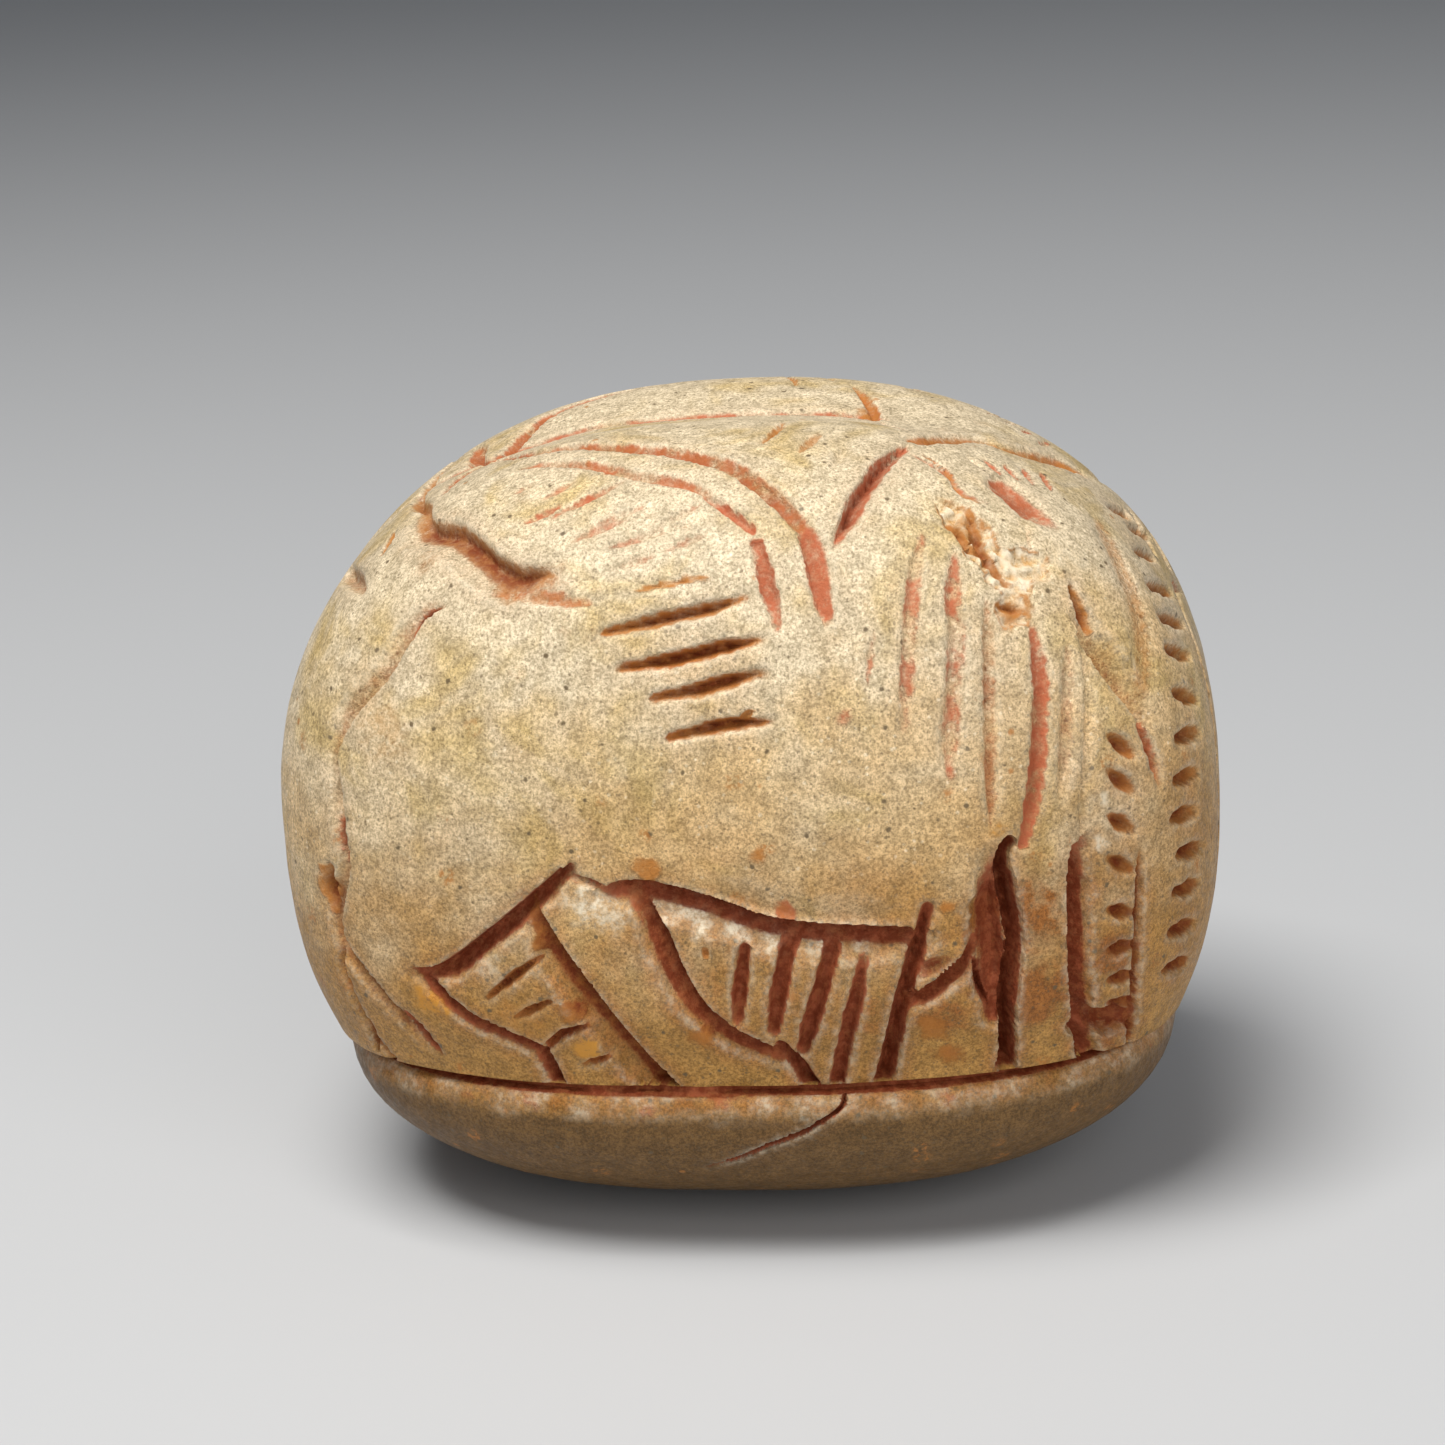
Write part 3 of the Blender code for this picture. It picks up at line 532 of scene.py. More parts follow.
# The folded legs below the flank: a sunk field with stepped edges, and the hatching on it
LEG_CUTS = (
    ("leg_step_tail", (-17.2, -10.2, -15.7, -10, -13.9, -8.7, -11.9, -7.1, -9.8, -5.2), 1.05, (0.18, 0.95),
     (0.3, 0.8), 0.95),
    ("thigh_top", (-9.9, -5.4, -8.4, -5.7, -7.5, -6.1), 0.4, (0.12, 0.4), 0.8, 0.9),
    ("leg_step", (-7.3, -6, -6.1, -5.8, -3.7, -6.3, -1.7, -6.9, 0.6, -7.7, 3.9, -8.1, 7.7, -8.2), 1.2,
     (0.2, 1.75), (0.5, 0.8), 0.95, 0, 1.1),
    ("flank_roll", (-2.9, -6.1, 1.6, -7.4, 3.9, -7.6, 7.9, -7.6), 0.22, (1, 0.3), 0, 0, 0, 1.2),
    ("leg_end", (8.6, -7.1, 7.9, -9.9, 7.4, -11.7, 6.4, -15.9), 1.2, 0.5, (0.5, 1), 1),
    ("thigh_front", (-5.9, -6.3, -4.6, -8.3, -3.7, -10.4, -2.4, -12.3, -0.7, -13.5, 1.3, -14.3), 1.1,
     (0.2, 1.15), (0.5, 0.7), 0.9, 0.3),
    ("thigh_back", (-10.9, -7.3, -9.6, -9.4, -7.9, -11.7, -6.1, -13.9, -4, -16.1), 1.2, (0.18, 1.7),
     (0.4, 1), 0.75, 0.8),
    ("foot_edge", (-16.9, -10.3, -15.1, -11.9, -13.6, -12.9, -11, -14, -10.4, -14.5, -9.7, -15.9), 0.85,
     (0.22, 0.7), (0.5, 1), 0.85),
    ("foot_facet", (-16.7, -10.5, -15.9, -11.2, -15.2, -12), 0.6, (0.3, 0.75), 0.4, 1),
    ("toe", (1.2, -14, 2, -14.9, 2.8, -16.1), 1, (0.5, 0.4), (0.5, 1), 1),
    ("knee_break", (7.4, -11.9, 9, -10.9, 10.2, -9.9, 10.9, -8.6), 1, (0.2, 0.75), (0.9, 0.4), 0.95, 0.2),
    ("knee_slope", (7.9, -10.3, 8.9, -10, 9.9, -9.5), 0.45, (0.5, 0.6), (0.8, 0), 0.5),
    ("shin_hatch_1", (-13.5, -11.6, -11.9, -10.3, -11, -9.7), 0.6, (0.25, 0.35), (0.3, 0.5), 0.5, 0.8),
    ("shin_hatch_2", (-12.1, -12.6, -10.4, -11.8), 0.5, (0.22, 0.3), (0.2, 0.5), 0.4, 0.9),
    ("shin_hatch_3", (-10.4, -14, -9.6, -13.4, -8.5, -13.1), 0.7, (0.25, 0.35), (0.8, 0.4), 0.8, 0.5),
    ("shin_hatch_4", (-8.7, -15, -7.3, -14.6), 0.45, 0.25, 0.3, 0.6, 0.6),
    ("leg_spot", (-2.6, -9, -2.5, -9.7), 0.25, 0.22, 0, 0.1, 1),
    ("leg_hatch_1", (-0.6, -9.2, -0.8, -11.2, -0.9, -12.8), 0.7, 0.42, (0.9, 0.6), 1, 0, 2),
    ("leg_hatch_2", (1.7, -8.9, 1.2, -10.9, 0.9, -13.3), 0.8, (0.5, 0.48), (1, 0.7), 1, 0, 2),
    ("leg_hatch_3", (3.8, -9.3, 3.1, -11.7, 2.4, -14.2), 0.85, 0.5, (1, 0.8), 1, 0, 2),
    ("leg_hatch_4", (5.4, -9.7, 5.1, -11.3, 4.6, -13.4, 4.1, -15.9), 0.7, (0.42, 0.45), (0.5, 1), 1, 0, 2),
)

# The upright scoring behind the head, and the deep slots that part the forelegs
SHOULDER_CUTS = (
    ("scoring_1", (6, 7.4, 5.5, 3.8), 0.2, 0.2, 0, 0.5),
    ("scoring_2", (8.4, 12.1, 7.8, 8.9, 7.5, 4.4, 7.4, 1.1), 0.35, (0.5, 0.35), 0, 0.6),
    ("scoring_3", (10, 11.1, 9.8, 8.2, 10, 6.8, 9.7, 1.9, 9.7, -1.2), 0.42, (0.6, 0.42), 0, 0.65),
    ("scoring_4", (11.5, 8.9, 11.6, 3.4, 11.7, -3.6), 0.42, (0.5, 0.22), 0, 0.4, 0.3),
    ("scoring_5", (13.8, 7.5, 14.3, 4.4, 14.3, 3.1, 14, -1.1, 13.4, -3.9), 0.5, 0.45, (0, 0.5), 1, 0, 2),
    ("scoring_6", (15.6, 6.9, 15.7, 4.4, 15.5, 0.5, 15.2, -2.4), 0.36, 0.42, 0, 0.3),
    ("foreleg_line", (16.2, 6.9, 16.6, 3.9, 16.5, 0.4, 16.2, -3.9), 0.25, (0.45, 0.15), 0.5, 0.1),
    ("break_1", (9.4, 12.4, 10.1, 11.9, 10.7, 11.1, 11.3, 10.8), 0.3, (0.35, 0.3), 0, 0.3, 1),
    ("break_2", (10.6, 13.4, 10.9, 12.6, 11.2, 11.8, 11.5, 11, 11.9, 10.4, 12.4, 9.7, 12.6, 9.4, 13.3, 9.1),
     0.42, (0.22, 0.5), 0, 0.2, 1),
    ("break_vein", (7.9, 15.9, 9.2, 15.2, 9.8, 14.6, 10.1, 13.9, 10.7, 13.5, 11.4, 13.3, 12.1, 13.1), 0.22,
     0.16, 0, 0.8, 0.6),
    ("break_3", (11.8, 8.3, 12.9, 8, 13.9, 7.7), 0.3, (0.18, 0.35), 0, 0.4, 0.8),
    ("break_4", (13.6, 12.1, 13.9, 10.3), 0.15, 0.2, 0, 0.5),
    ("chip_line", (7.2, 16, 8.9, 15.2, 9.9, 14.5, 10.4, 13.8, 12, 13.2), 0.2, (0.1, 0.3), 0, 0.8, 0.2),
    ("eye_pit", (12.5, 14.1, 13.1, 13.6, 13.9, 12.9, 14.7, 12.3), 0.5, (1.2, 1.1), (1, 0.2), 1, 0.2, 2),
    ("neck_pit", (15.8, 9, 16.2, 8, 16.8, 6.9), 1.1, (0.5, 0.28), (0.7, 0.4), 0.4, 0.9),
    ("neck_channel", (16.3, 6.6, 17.2, 5.2, 18.2, 3.9, 19.3, 2.4), 0.8, (1.6, 0.3), (0.7, 0.5), 0.15, 0.3),
    ("foreleg_slot", (12.7, -3.8, 12.4, -4.9, 13, -8.7, 12.7, -12, 12.6, -15.9), 1.9, (0.45, 0.5), (0.7, 1),
     0.8, 0, 2),
    ("foreleg_slope", (12.2, -4.8, 11.9, -5.9, 12, -7.9, 12.2, -10.4, 12.2, -12.4), 1.2, (0.5, 1.3),
     (0.3, 0.7), 0.65),
    ("slope_notch", (10.9, -9.8, 11.2, -11.2, 11.8, -12.4), 1.1, (0.4, 0.15), (0.4, 0.7), 1),
    ("foreleg_front", (16.1, -3.9, 15.8, -4.9, 15.8, -9.7, 15.9, -11.7, 16.2, -14.7), 1.25, (1.15, 0.18),
     (0.5, 1), 0.85),
    ("foreleg_pocket", (16.3, -12.8, 17.4, -12.8, 18.8, -12.6), 1.3, (0.85, 0.9), (0.9, 0.5), 0.5, 0, 4),
)

# The head: its collar, the grooves of its bands, the bands' notches and the plain arch of its front
HEAD_CUTS = (
    ("collar", (17.2, 12.6, 17.9, 11.2, 18.5, 9.9, 19.1, 8.5, 19.4, 7.4, 19.6, 5.9, 19.6, 4.4, 19.3, 2.8),
     0.25, (0.6, 1.3), 0, 0.1, 0.4),
    ("cheek_groove", (19.3, 2.2, 19.7, 1.1, 20.1, -0.1, 20.3, -1.3), 0.6, (0.3, 0.35), (0.8, 0), 0.9, 0.3),
    ("band_groove", (19.3, -3.7, 19.3, -6.5, 19.2, -8.6, 19, -11.8, 18.8, -13.6), 0.65, (0.25, 0.35),
     (0, 1), 0.5, 0.5),
)
FACE_ARCH = ("face_arch", (0, 9.5, -3.4, 8.2, -5.6, 3.5, -6.2, -2.5, -5.6, -8.8), 0.5, 0.35, (1, 0.5))
INNER_NOTCHES = (
    (1.1, 0.5), (-0.7, 0.5), (-2.8, 0.35), (-4.9, 0.3), (-7.3, 0.1), (-9.1, -0.15), (-10.6, -0.15),
    (-11.9, 0),
)
OUTER_NOTCHES = (
    (18.2, 12.8), (19.2, 11.8), (19.5, 10.7), (20.3, 9.0), (20.9, 7.4), (21.2, 5.8), (21.6, 3.6), (21.7, 1.6),
    (21.6, -0.5), (21.5, -2.4), (21.8, -4.2), (21.6, -6.1), (21.4, -8.1), (21.1, -10.0),
)

# The lines that close the wing cases and hind legs round the tail
TAIL_CUTS = (
    ("hind_edge", (-21.1, 0.8, -20.8, -2.5, -20.5, -5, -20.9, -7.9, -20, -9.8, -18.1, -12.1, -16.5, -13.8),
     0.55, (0.2, 0.75), (0.5, 0.3), 0.3, 0.2),
    ("hind_slit", (-20.9, -2.5, -20.8, -3.7, -20.6, -5), 1, (0.2, 0.28), 0.3, 1),
    ("tail_pit", (-21.4, -5.1, -21.4, -6.1, -21.3, -7.2), 0.8, (0.5, 0.6), 0.3, 0.3, 1, 2),
    ("hind_under", (-21, -7.8, -20.8, -9.3, -20.4, -10.9, -18.9, -13.7, -17.9, -14.8), 0.45, (0.2, 0.5),
     (0, 0.4), 0.3, 0.3),
    ("foot_line", (-17.9, -12.1, -17.2, -12.7, -16.5, -13.5, -15.6, -14.6), 0.55, (0.22, 0.5), 0, 0.9),
    ("tail_slot", (-19.3, -13.2, -19, -14.2), 0.6, 0.25, 0.5, 0.1, 0.5),
)
TAIL_ARCH = ("tail_arch", (0, 4, -4, 2.4, -7, -2, -7.6, -8.6), 0.5, 0.4, (1, 0.5), 0.5)

# The line down the middle of the back, the crossing behind the head and the groove over the tail end
BACK_CUTS = (
    ("back_line", (-19.5, 0.1, -12, 0.3, -7, 0.6, -4.4, 0.1, 0, 0, 2.4, 0, 4.4, 0.3, 6.4, 0.2), 0.5,
     (0.9, 0.35), (0, 1), 0.9),
    ("crossing_near", (6.9, -0.4, 7.7, -2.6, 8.3, -3.4), 0.3, (0.3, 0.25), (0.6, 0), 0.85),
    ("crossing_far", (6.5, 0, 6.5, 1.1, 6.2, 2.5, 5.3, 5), 0.4, 0.35, (1, 0.2), 0.9, 0.6),
    ("neck_line", (8.8, -5.5, 9.8, -4.1, 10.9, -2.2, 11.8, -1.5, 12.8, -1.6, 14.1, -0.5, 15.4, 1.3,
     16.9, 2.9), 0.6, (1.1, 0.75), (0.5, 0), 0.8, 0.7),
    ("heel_groove", (-14.5, -6.4, -15.6, -3.1, -15.8, 0, -15.6, 3.1, -14.5, 6.4), 0.6, (0.45, 0.55), 0.8,
     0.3, 0.6),
)

# The hairline crack that runs under the near side of the base
CRACK = ("crack", (4.4, -15.9, 4.4, -16.4, 4.3, -17, 3.1, -17.9, 2.2, -18.4, 0.6, -19, -0.8, -19.6,
     -2.8, -20.2), 0.6, 0.15, (1, 0), 1)

# The strokes in the underside's oval: each row's place across and how many stand to each side of its middle
UNDERSIDE_ROWS = ((2.4, 3), (0.0, 4), (-2.4, 3))

# Small dabs of colour on the near flank: marks on the side drawing, radius and how strong it is. Some of them
# are painted shade and painted highlights, as noted below
STAINS = {
    # The rust dabs at (-2, -4.6) and (6, -6) paint the shade along the flank's lower roll, the one at (18.1,
    # -12.9) paints the dark pocket under the head, and the one at (9.7, -14.3), with the clay dab there,
    # paints a brown shadow patch on the leg.
    "rust": (
        (-5.3, -5.2, 0.8, 0.9), (-16.4, -11.8, 0.9, 0.3), (-10.6, -8.9, 0.7, 0.9), (0.1, -4.4, 0.45, 0.9),
        (-21.6, -5.9, 0.9, 1), (9.5, -7.1, 0.35, 0.9), (8.1, -3.2, 0.25, 0.8), (5.6, 17.8, 0.7, 0.7),
        (1.4, -7.2, 0.6, 0.4), (9.7, -14.3, 0.8, 0.9), (-16.6, 10.2, 1, 0.35), (10.7, 12, 1, 0.4),
        (12.9, 7.9, 0.8, 0.6), (17.6, 5.4, 0.7, 0.35), (11.4, -7.6, 1.4, 0.3), (18.1, -12.9, 1.4, 0.3),
        (-2, -4.6, 2.4, 0.15), (-12.4, 9.4, 1.3, 0.5), (-10.2, 9.2, 1.2, 0.3), (8.9, -13.2, 0.9, 0.7),
        (-9.2, -12.4, 0.9, 0.6), (-2.6, -13.6, 0.7, 0.7), (6, -6, 2.4, 0.15),
    ),
    "ochre": (
        (-16.4, -11.8, 0.9, 2), (-8.5, -14.1, 0.7, 2), (-10.6, -8.9, 0.7, 0.5), (12.1, -3.1, 0.35, 1),
        (10.7, 12, 1, 0.7), (12.9, 7.9, 0.8, 0.6), (-18.6, 1.8, 1.6, 0.3), (-11.6, -12.8, 1.4, 0.4),
    ),
    "clay": (
        (4.5, 2.3, 0.3, 1), (1.4, -7.2, 0.6, 0.9), (9.7, -14.3, 0.8, 0.5), (11.6, -10.8, 1.3, 0.4),
        (-10.2, 9.2, 1.2, 0.35),
    ),
    # Most of these pale dabs are painted highlights: along the leg step's bevel and on the head's band.
    "wear_and_highlight": (
        (17.4, -1.6, 0.35, 2), (17.2, -3.9, 0.4, 2.2), (15.6, 10.6, 0.9, 0.9), (-4.6, -7.4, 0.8, 2),
        (-3, -7.5, 1.1, 2.6), (-1, -8.2, 0.9, 2.6), (1, -8.7, 0.8, 2.8), (3.2, -9, 0.7, 2.4),
        (5.4, -9.1, 0.6, 1.8), (-8.4, -7, 1.1, 2.6), (-7, -7.4, 0.8, 2), (-13.6, -10, 0.7, 1.2),
    ),
    # The dabs in the foreleg recesses, in the dark pocket under the head and along the flank's lower roll are
    # painted shade; the others are dirt.
    "grime_and_shade": (
        (17.6, 5.4, 0.7, 0.8), (18.9, 4.3, 0.8, 1), (13.4, -7.5, 2, 2.2), (14.2, -11.5, 2, 2.4),
        (11.4, -7.6, 1.4, 2.4), (11.6, -10.8, 1.3, 2.4), (17.8, -9.4, 1.6, 2.2), (18.1, -12.9, 1.4, 2.8),
        (9.4, -12.6, 1.2, 1.6), (2.3, -12, 2.2, 0.8), (-2, -10.9, 1.1, 0.9), (6.1, -12.4, 1.3, 1.1),
        (-7.6, -9.4, 1.5, 0.5), (-12.9, -9.6, 1.4, 0.6), (-2, -4.6, 2.4, 0.35), (6, -6, 2.4, 0.4),
        (-11.6, -12.8, 1.4, 0.9),
    ),
}


def strokes(rows, **settings):
    return [Stroke(*row, **settings) for row in rows]


def lens_scratches():
    """The faint scratches on the lens between the wing cases."""
    return [Stroke(f"lens_scratch_{i}", marks, 0.2, (0.24, 0.26), clay=0.85 if i in (3, 4) else 0.5)
            for i, marks in enumerate(LENS_SCRATCHES, 1)]


def eye_hatching():
    """The short ticks in a row under the eye, each smaller than the one before."""
    cuts = []
    for i in range(5):
        u, v = 10.4 + 0.97 * i, 15.7 - 0.22 * i
        marks = (u, v, u + 1.2 - 0.17 * i, v - 0.8 - 0.06 * i)
        cuts.append(Stroke(f"eye_hatch_{i + 1}", marks, 0.22, 0.26, clay=0.75 if i else 0.1))
    return cuts


def head_notches():
    """The notches of the head's inner and outer bands, of which the topmost are on the near side alone."""
    cuts = []
    for i, (v, fall) in enumerate(INNER_NOTCHES, 1):
        marks = (17.75, v + fall, 18.9, v - fall)
        cuts.append(Stroke(f"inner_notch_{i}", marks, 0.75, 0.46, (0.3, 0.5), 0.5, 0.6))
    for i, (u, v) in enumerate(OUTER_NOTCHES, 1):
        rise = 0.15 if i < 8 else -0.2
        half = 0.45 if i < 4 else 0.52
        marks = (u - half, v + rise, u + half, v - rise)
        sides = (NEAR,) if v > 11 else (NEAR, FAR)
        cuts.append(Stroke(f"outer_notch_{i}", marks, 0.8, half, (0.5, 0.6), 0.3, 0.6, sides=sides))
    return cuts


def underside_strokes():
    """A shallow oval line round the flat spot, and rows of plain strokes inside it."""
    below = {"lay": on_underside, "sides": (NEAR,), "clay": 0.5, "on_base": True}
    oval = [(6.0 * math.cos(a), 4.6 * math.sin(a)) for a in np.linspace(0, 2 * math.pi, 17)]
    cuts = [Stroke("oval", oval, 0.25, 0.2, 1, **below)]
    for row, (y, half) in enumerate(UNDERSIDE_ROWS):
        for i in range(-half, half + 1):
            x = 1.15 * i
            lean = 0.25 if (i + row) % 2 else -0.2
            marks = (x - lean, y - 0.75, x + lean, y + 0.75)
            cuts.append(Stroke(f"underside_{row}_{i}", marks, 0.25, 0.18, (0.5, 0.3), **below))
    return cuts


def all_strokes():
    """Every cut of the stone."""
    return [
        *strokes(WING_CUTS), *lens_scratches(), *strokes(LEG_CUTS), *strokes(SHOULDER_CUTS), *eye_hatching(),
        *strokes(HEAD_CUTS), Stroke(*FACE_ARCH, lay=on_front), *head_notches(),
        *strokes(TAIL_CUTS), Stroke(*TAIL_ARCH, lay=on_tail), *strokes(BACK_CUTS, lay=on_back, sides=(NEAR,)),
        *underside_strokes(), Stroke(*CRACK, sides=(NEAR,), on_base=True),
    ]


def mirrored(points, side):
    return points * np.array((1, side, 1))


def every_side(cuts):
    return [(cut, side) for cut in cuts for side in cut.sides]


def point_array(bm):
    return np.array([vert.co[:] for vert in bm.verts])


def set_points(bm, points):
    for vert, place in zip(bm.verts, points):
        vert.co = place


def settle(rough):
    """Moves points of the rough net out onto the body's ovoid, cut off flat at the flat spot's level."""
    low = (rough[:, 2] <= 0)[:, None]
    outside = np.where(low, rough * (1.5, 1.5, 1), unit(rough) * LENGTH)
    inside = np.where(low, rough * (0.5, 0.5, 1), unit(rough) * MM)
    flat = (rough[:, 2] < FLAT_LEVEL + LEVEL_ERROR)[:, None]
    return np.where(flat, rough, halve(outside, inside, body_value))


def onto_stone(rough):
    """The plain stone's points for those of the rough net, drawn in to the groove and the base."""
    z = rough[:, 2]
    reach = np.hypot(rough[:, 0], rough[:, 1])
    ways = rough[:, :2] / np.maximum(reach, LEVEL_ERROR)[:, None]
    along, across = np.abs(2 * ways[:, 0] / BASE_LENGTH), np.abs(2 * ways[:, 1] / BASE_WIDTH)
    depth = np.clip((BASE_RIM - z) / BELLY_DEPTH, 0, 1)
    full = (along**BASE_POWER + across**BASE_POWER) ** (-1 / BASE_POWER)
    base = full * np.sqrt(1 - depth**2)
    outside, inside = (np.column_stack([ways * far, z]) for far in (LENGTH, MM))
    body = np.hypot(*halve(outside, inside, body_value)[:, :2].T)
    down = (-GROOVE_DROP - z) / GROOVE_HEIGHT
    ceiling, floor = GROOVE_SHARES
    inner = full - GROOVE_INSET
    cut = (z < -GROOVE_DROP) & (z > BASE_TOP)
    inner[cut] += GROOVE_INSET * ease(wander(rough[cut] * (1, 1, 0), GROOVE_WAVER, seed=21) - GROOVE_CALM)
    target = body + (inner - body) * np.clip(down / ceiling, 0, 1)
    target += (base - BASE_SLOPE - inner) * np.clip((down - floor) / (1 - floor), 0, 1)
    target += BASE_SLOPE * np.sqrt(np.clip((BASE_TOP - z) / BASE_EDGE, 0, 1))
    scale = np.where(down > 0, target / np.maximum(body, LEVEL_ERROR), 1)
    return np.column_stack([rough[:, :2] * scale[:, None], z])


def rough_net(sizes):
    """A block split into a net and rounded, with rings of edges at the groove, the rim and the flat spot."""
    bm = bmesh.new()
    bmesh.ops.create_cube(bm, size=2)
    bmesh.ops.subdivide_edges(bm, edges=bm.edges, cuts=sizes.first_cuts, use_grid_fill=True)
    points = straight_out(np.tan(point_array(bm) * math.pi / 4))
    flat = points[:, 2] < FLAT_LEVEL
    points[flat] *= (FLAT_LEVEL / points[flat, 2])[:, None]
    levels = [-GROOVE_DROP - share * GROOVE_HEIGHT for share in (0, *GROOVE_SHARES, 1)]
    levels += [BASE_TOP - share * BASE_EDGE for share in RIM_SHARES]
    for level in levels:
        points[:, 2] = np.where(np.abs(points[:, 2] - level) < SNAP, level, points[:, 2])
    set_points(bm, settle(points))
    for level in (*levels, FLAT_LEVEL):
        parts = [*bm.verts, *bm.edges, *bm.faces]
        bmesh.ops.bisect_plane(bm, geom=parts, dist=LEVEL_ERROR, plane_co=(0, 0, level), plane_no=(0, 0, 1))
    return bm


def stray(bm, cuts, first):
    """How far the middle of each edge lies from the carved form, or whether it is close to a cut."""
    bm.verts.index_update()
    rough = point_array(bm)
    ends = np.array([[vert.index for vert in edge.verts] for edge in bm.edges])
    middles = settle(rough[ends].mean(1))
    long_enough = np.linalg.norm(rough[ends[:, 0]] - rough[ends[:, 1]], axis=1) > SHORTEST_EDGE
    if first:
        near = np.zeros(len(middles))
        places = onto_stone(middles)
        for cut, side in every_side(cuts):
            near[cut.across(mirrored(places, side), SPLIT_MARGIN)[0]] = 1
        return near
    at_ends = carve(onto_stone(rough), cuts)["cut"][ends].mean(1)
    return np.abs(carve(onto_stone(middles), cuts)["cut"] - at_ends) * long_enough


def refined_net(sizes, cuts):
    """The rough net, split where the cuts need it, the worst places first, up to the most triangles."""
    bm = rough_net(sizes)
    for step in range(sizes.refine_passes):
        error = stray(bm, cuts, step == 0)
        bm.edges.index_update()
        of_faces = np.array([max(error[edge.index] for edge in face.edges) for face in bm.faces])
        triangles = sum(len(face.verts) - 2 for face in bm.faces)
        room = max(0, int((sizes.most_triangles - triangles) / TRIANGLES_PER_SPLIT))
        worst = np.argsort(-of_faces, kind="stable")[:room]
        chosen = np.zeros(len(of_faces), bool)
        chosen[worst] = of_faces[worst] > sizes.cut_error
        for face, choice in zip(bm.faces, chosen):
            face.tag = bool(choice)
        edges = [edge for edge in bm.edges if any(face.tag for face in edge.link_faces)]
        bmesh.ops.subdivide_edges(bm, edges=edges, cuts=1, use_grid_fill=True)
        set_points(bm, settle(point_array(bm)))
    return bm


def crumble(points):
    """The broken patch behind the head: how strongly each point is crumbled, from 0 to 1."""
    places = on_side(np.array(BREAK_MARKS))
    away = np.min([np.linalg.norm(points - place, axis=1) for place in places], axis=0)
    broken = np.zeros(len(points))
    near = away < 2 * BREAK_RADIUS
    ragged = away[near] / BREAK_RADIUS + 0.5 * wander(points[near], BREAK_RAGGED, seed=17)
    broken[near] = ease((1.1 - ragged) / 0.35)
    return broken


def raise_to(looks, name, amounts, where=slice(None)):
    """Brings one of the looks up to the given amounts where it is below them."""
    looks[name][where] = np.maximum(looks[name][where], amounts)


def carve(points, cuts):
    """How deep each point is cut, and how much clay, rust, ochre, pale wear, and brown dirt with painted
    shade lie there.
    """
    looks = {name: np.zeros(len(points)) for name in ("cut", "clay", "rust", "ochre", "wear_and_highlight", "grime_and_shade")}
    body = on_body(points)
    for cut, side in every_side(cuts):
        profile = cut.profile(mirrored(points, side))
        keep = body[profile[0]] != cut.on_base
        near, left, share, past, settled = (values[keep] for values in profile)
        wear, halo = (share * min(1, cut.depth / full) for full in (FULL_WEAR_DEPTH, FULL_GRIME_AND_SHADE_DEPTH))
        raise_to(looks, "cut", share * left * cut.depth, near)
        raise_to(looks, "clay", settled * cut.clay, near)
        raise_to(looks, "rust", settled * cut.rust, near)
        raise_to(looks, "wear_and_highlight", wear * np.exp(-((past / LIP_WEAR) ** 2)), near)
        # A brown halo beside each deep cut: dirt and painted shade, stronger the deeper the cut.
        raise_to(looks, "grime_and_shade", halo * np.exp(-((np.maximum(past, 0) / GRIME_AND_SHADE_REACH) ** 2)), near)
    broken = crumble(points)
    patch = broken > 0
    broken = broken[patch]
    lumps = wander(points[patch], BREAK_GRAIN, seed=5)
    looks["cut"][patch] += BREAK_DEPTH * broken * (1 + BREAK_LUMPS * lumps)
    raise_to(looks, "ochre", BREAK_OCHRE * broken * ease(0.5 + 1.5 * lumps), patch)
    raise_to(looks, "wear_and_highlight", BREAK_WORN * broken * ease(0.6 - 1.5 * lumps), patch)
    raise_to(looks, "rust", BREAK_RUST * broken * (1 - broken), patch)
    return looks


def add_stains(looks, points):
    """Dabs of colour, among them painted shade and painted highlights, the residue that fills the groove over
    the base, and the rim's dirt and its pale wear, painted as a highlight where light falls on the ledge.
    """
    for colour, dabs in STAINS.items():
        for u, v, radius, strength in dabs:
            away = np.linalg.norm(points - on_side(np.array([(u, v)])), axis=1) / (radius * MM)
            near = away < 2
            away[near] += STAIN_WAVER * wander(points[near], STAIN_RAGGED, seed=9)
            raise_to(looks, colour, strength * ease(STAIN_SPREAD - away))
    down = (-GROOVE_DROP - points[:, 2]) / GROOVE_HEIGHT
    inside = ease(down / GROOVE_SHARES[0]) * ease((1.1 - down) / 0.3)
    rim = ease((points[:, 2] - BASE_RIM + BASE_EDGE / 2) / BASE_EDGE) * (down > 1)
    smears = ease(0.2 + 1.6 * wander(points, RIM_SMEARS, seed=11))
    raise_to(looks, "clay", GROOVE_CLAY * inside)
    raise_to(looks, "clay", RIM_CLAY_SHARE * rim * smears)
    raise_to(looks, "grime_and_shade", rim * (1 - smears))
    # A pale band on the rim: wear and a painted highlight where light falls on the ledge.
    raise_to(looks, "wear_and_highlight", RIM_WEAR_AND_HIGHLIGHT_SHARE * rim * ease(0.5 + wander(points, RIM_WEAR, seed=31)))
    raise_to(looks, "cut", GROOVE_INSET * inside)


def wander(points, size, seed):
    """Smooth unevenness between -1 and 1 with bumps of one size."""
    shift = Vector((seed, seed * 1.7, seed * 2.3))
    return np.array([noise.noise(Vector(p) / size + shift) for p in points])


def add_attribute(mesh, name, values):
    layer = mesh.attributes.new(name, "FLOAT", "POINT")
    layer.data.foreach_set("value", values.astype(np.float32))


def add_object(name, data):
    obj = bpy.data.objects.new(name, data)
    bpy.context.scene.collection.objects.link(obj)
    return obj


def add_piece(name, bm):
    mesh = bpy.data.meshes.new(name)
    bm.to_mesh(mesh)
    bm.free()
    return add_object(name, mesh)


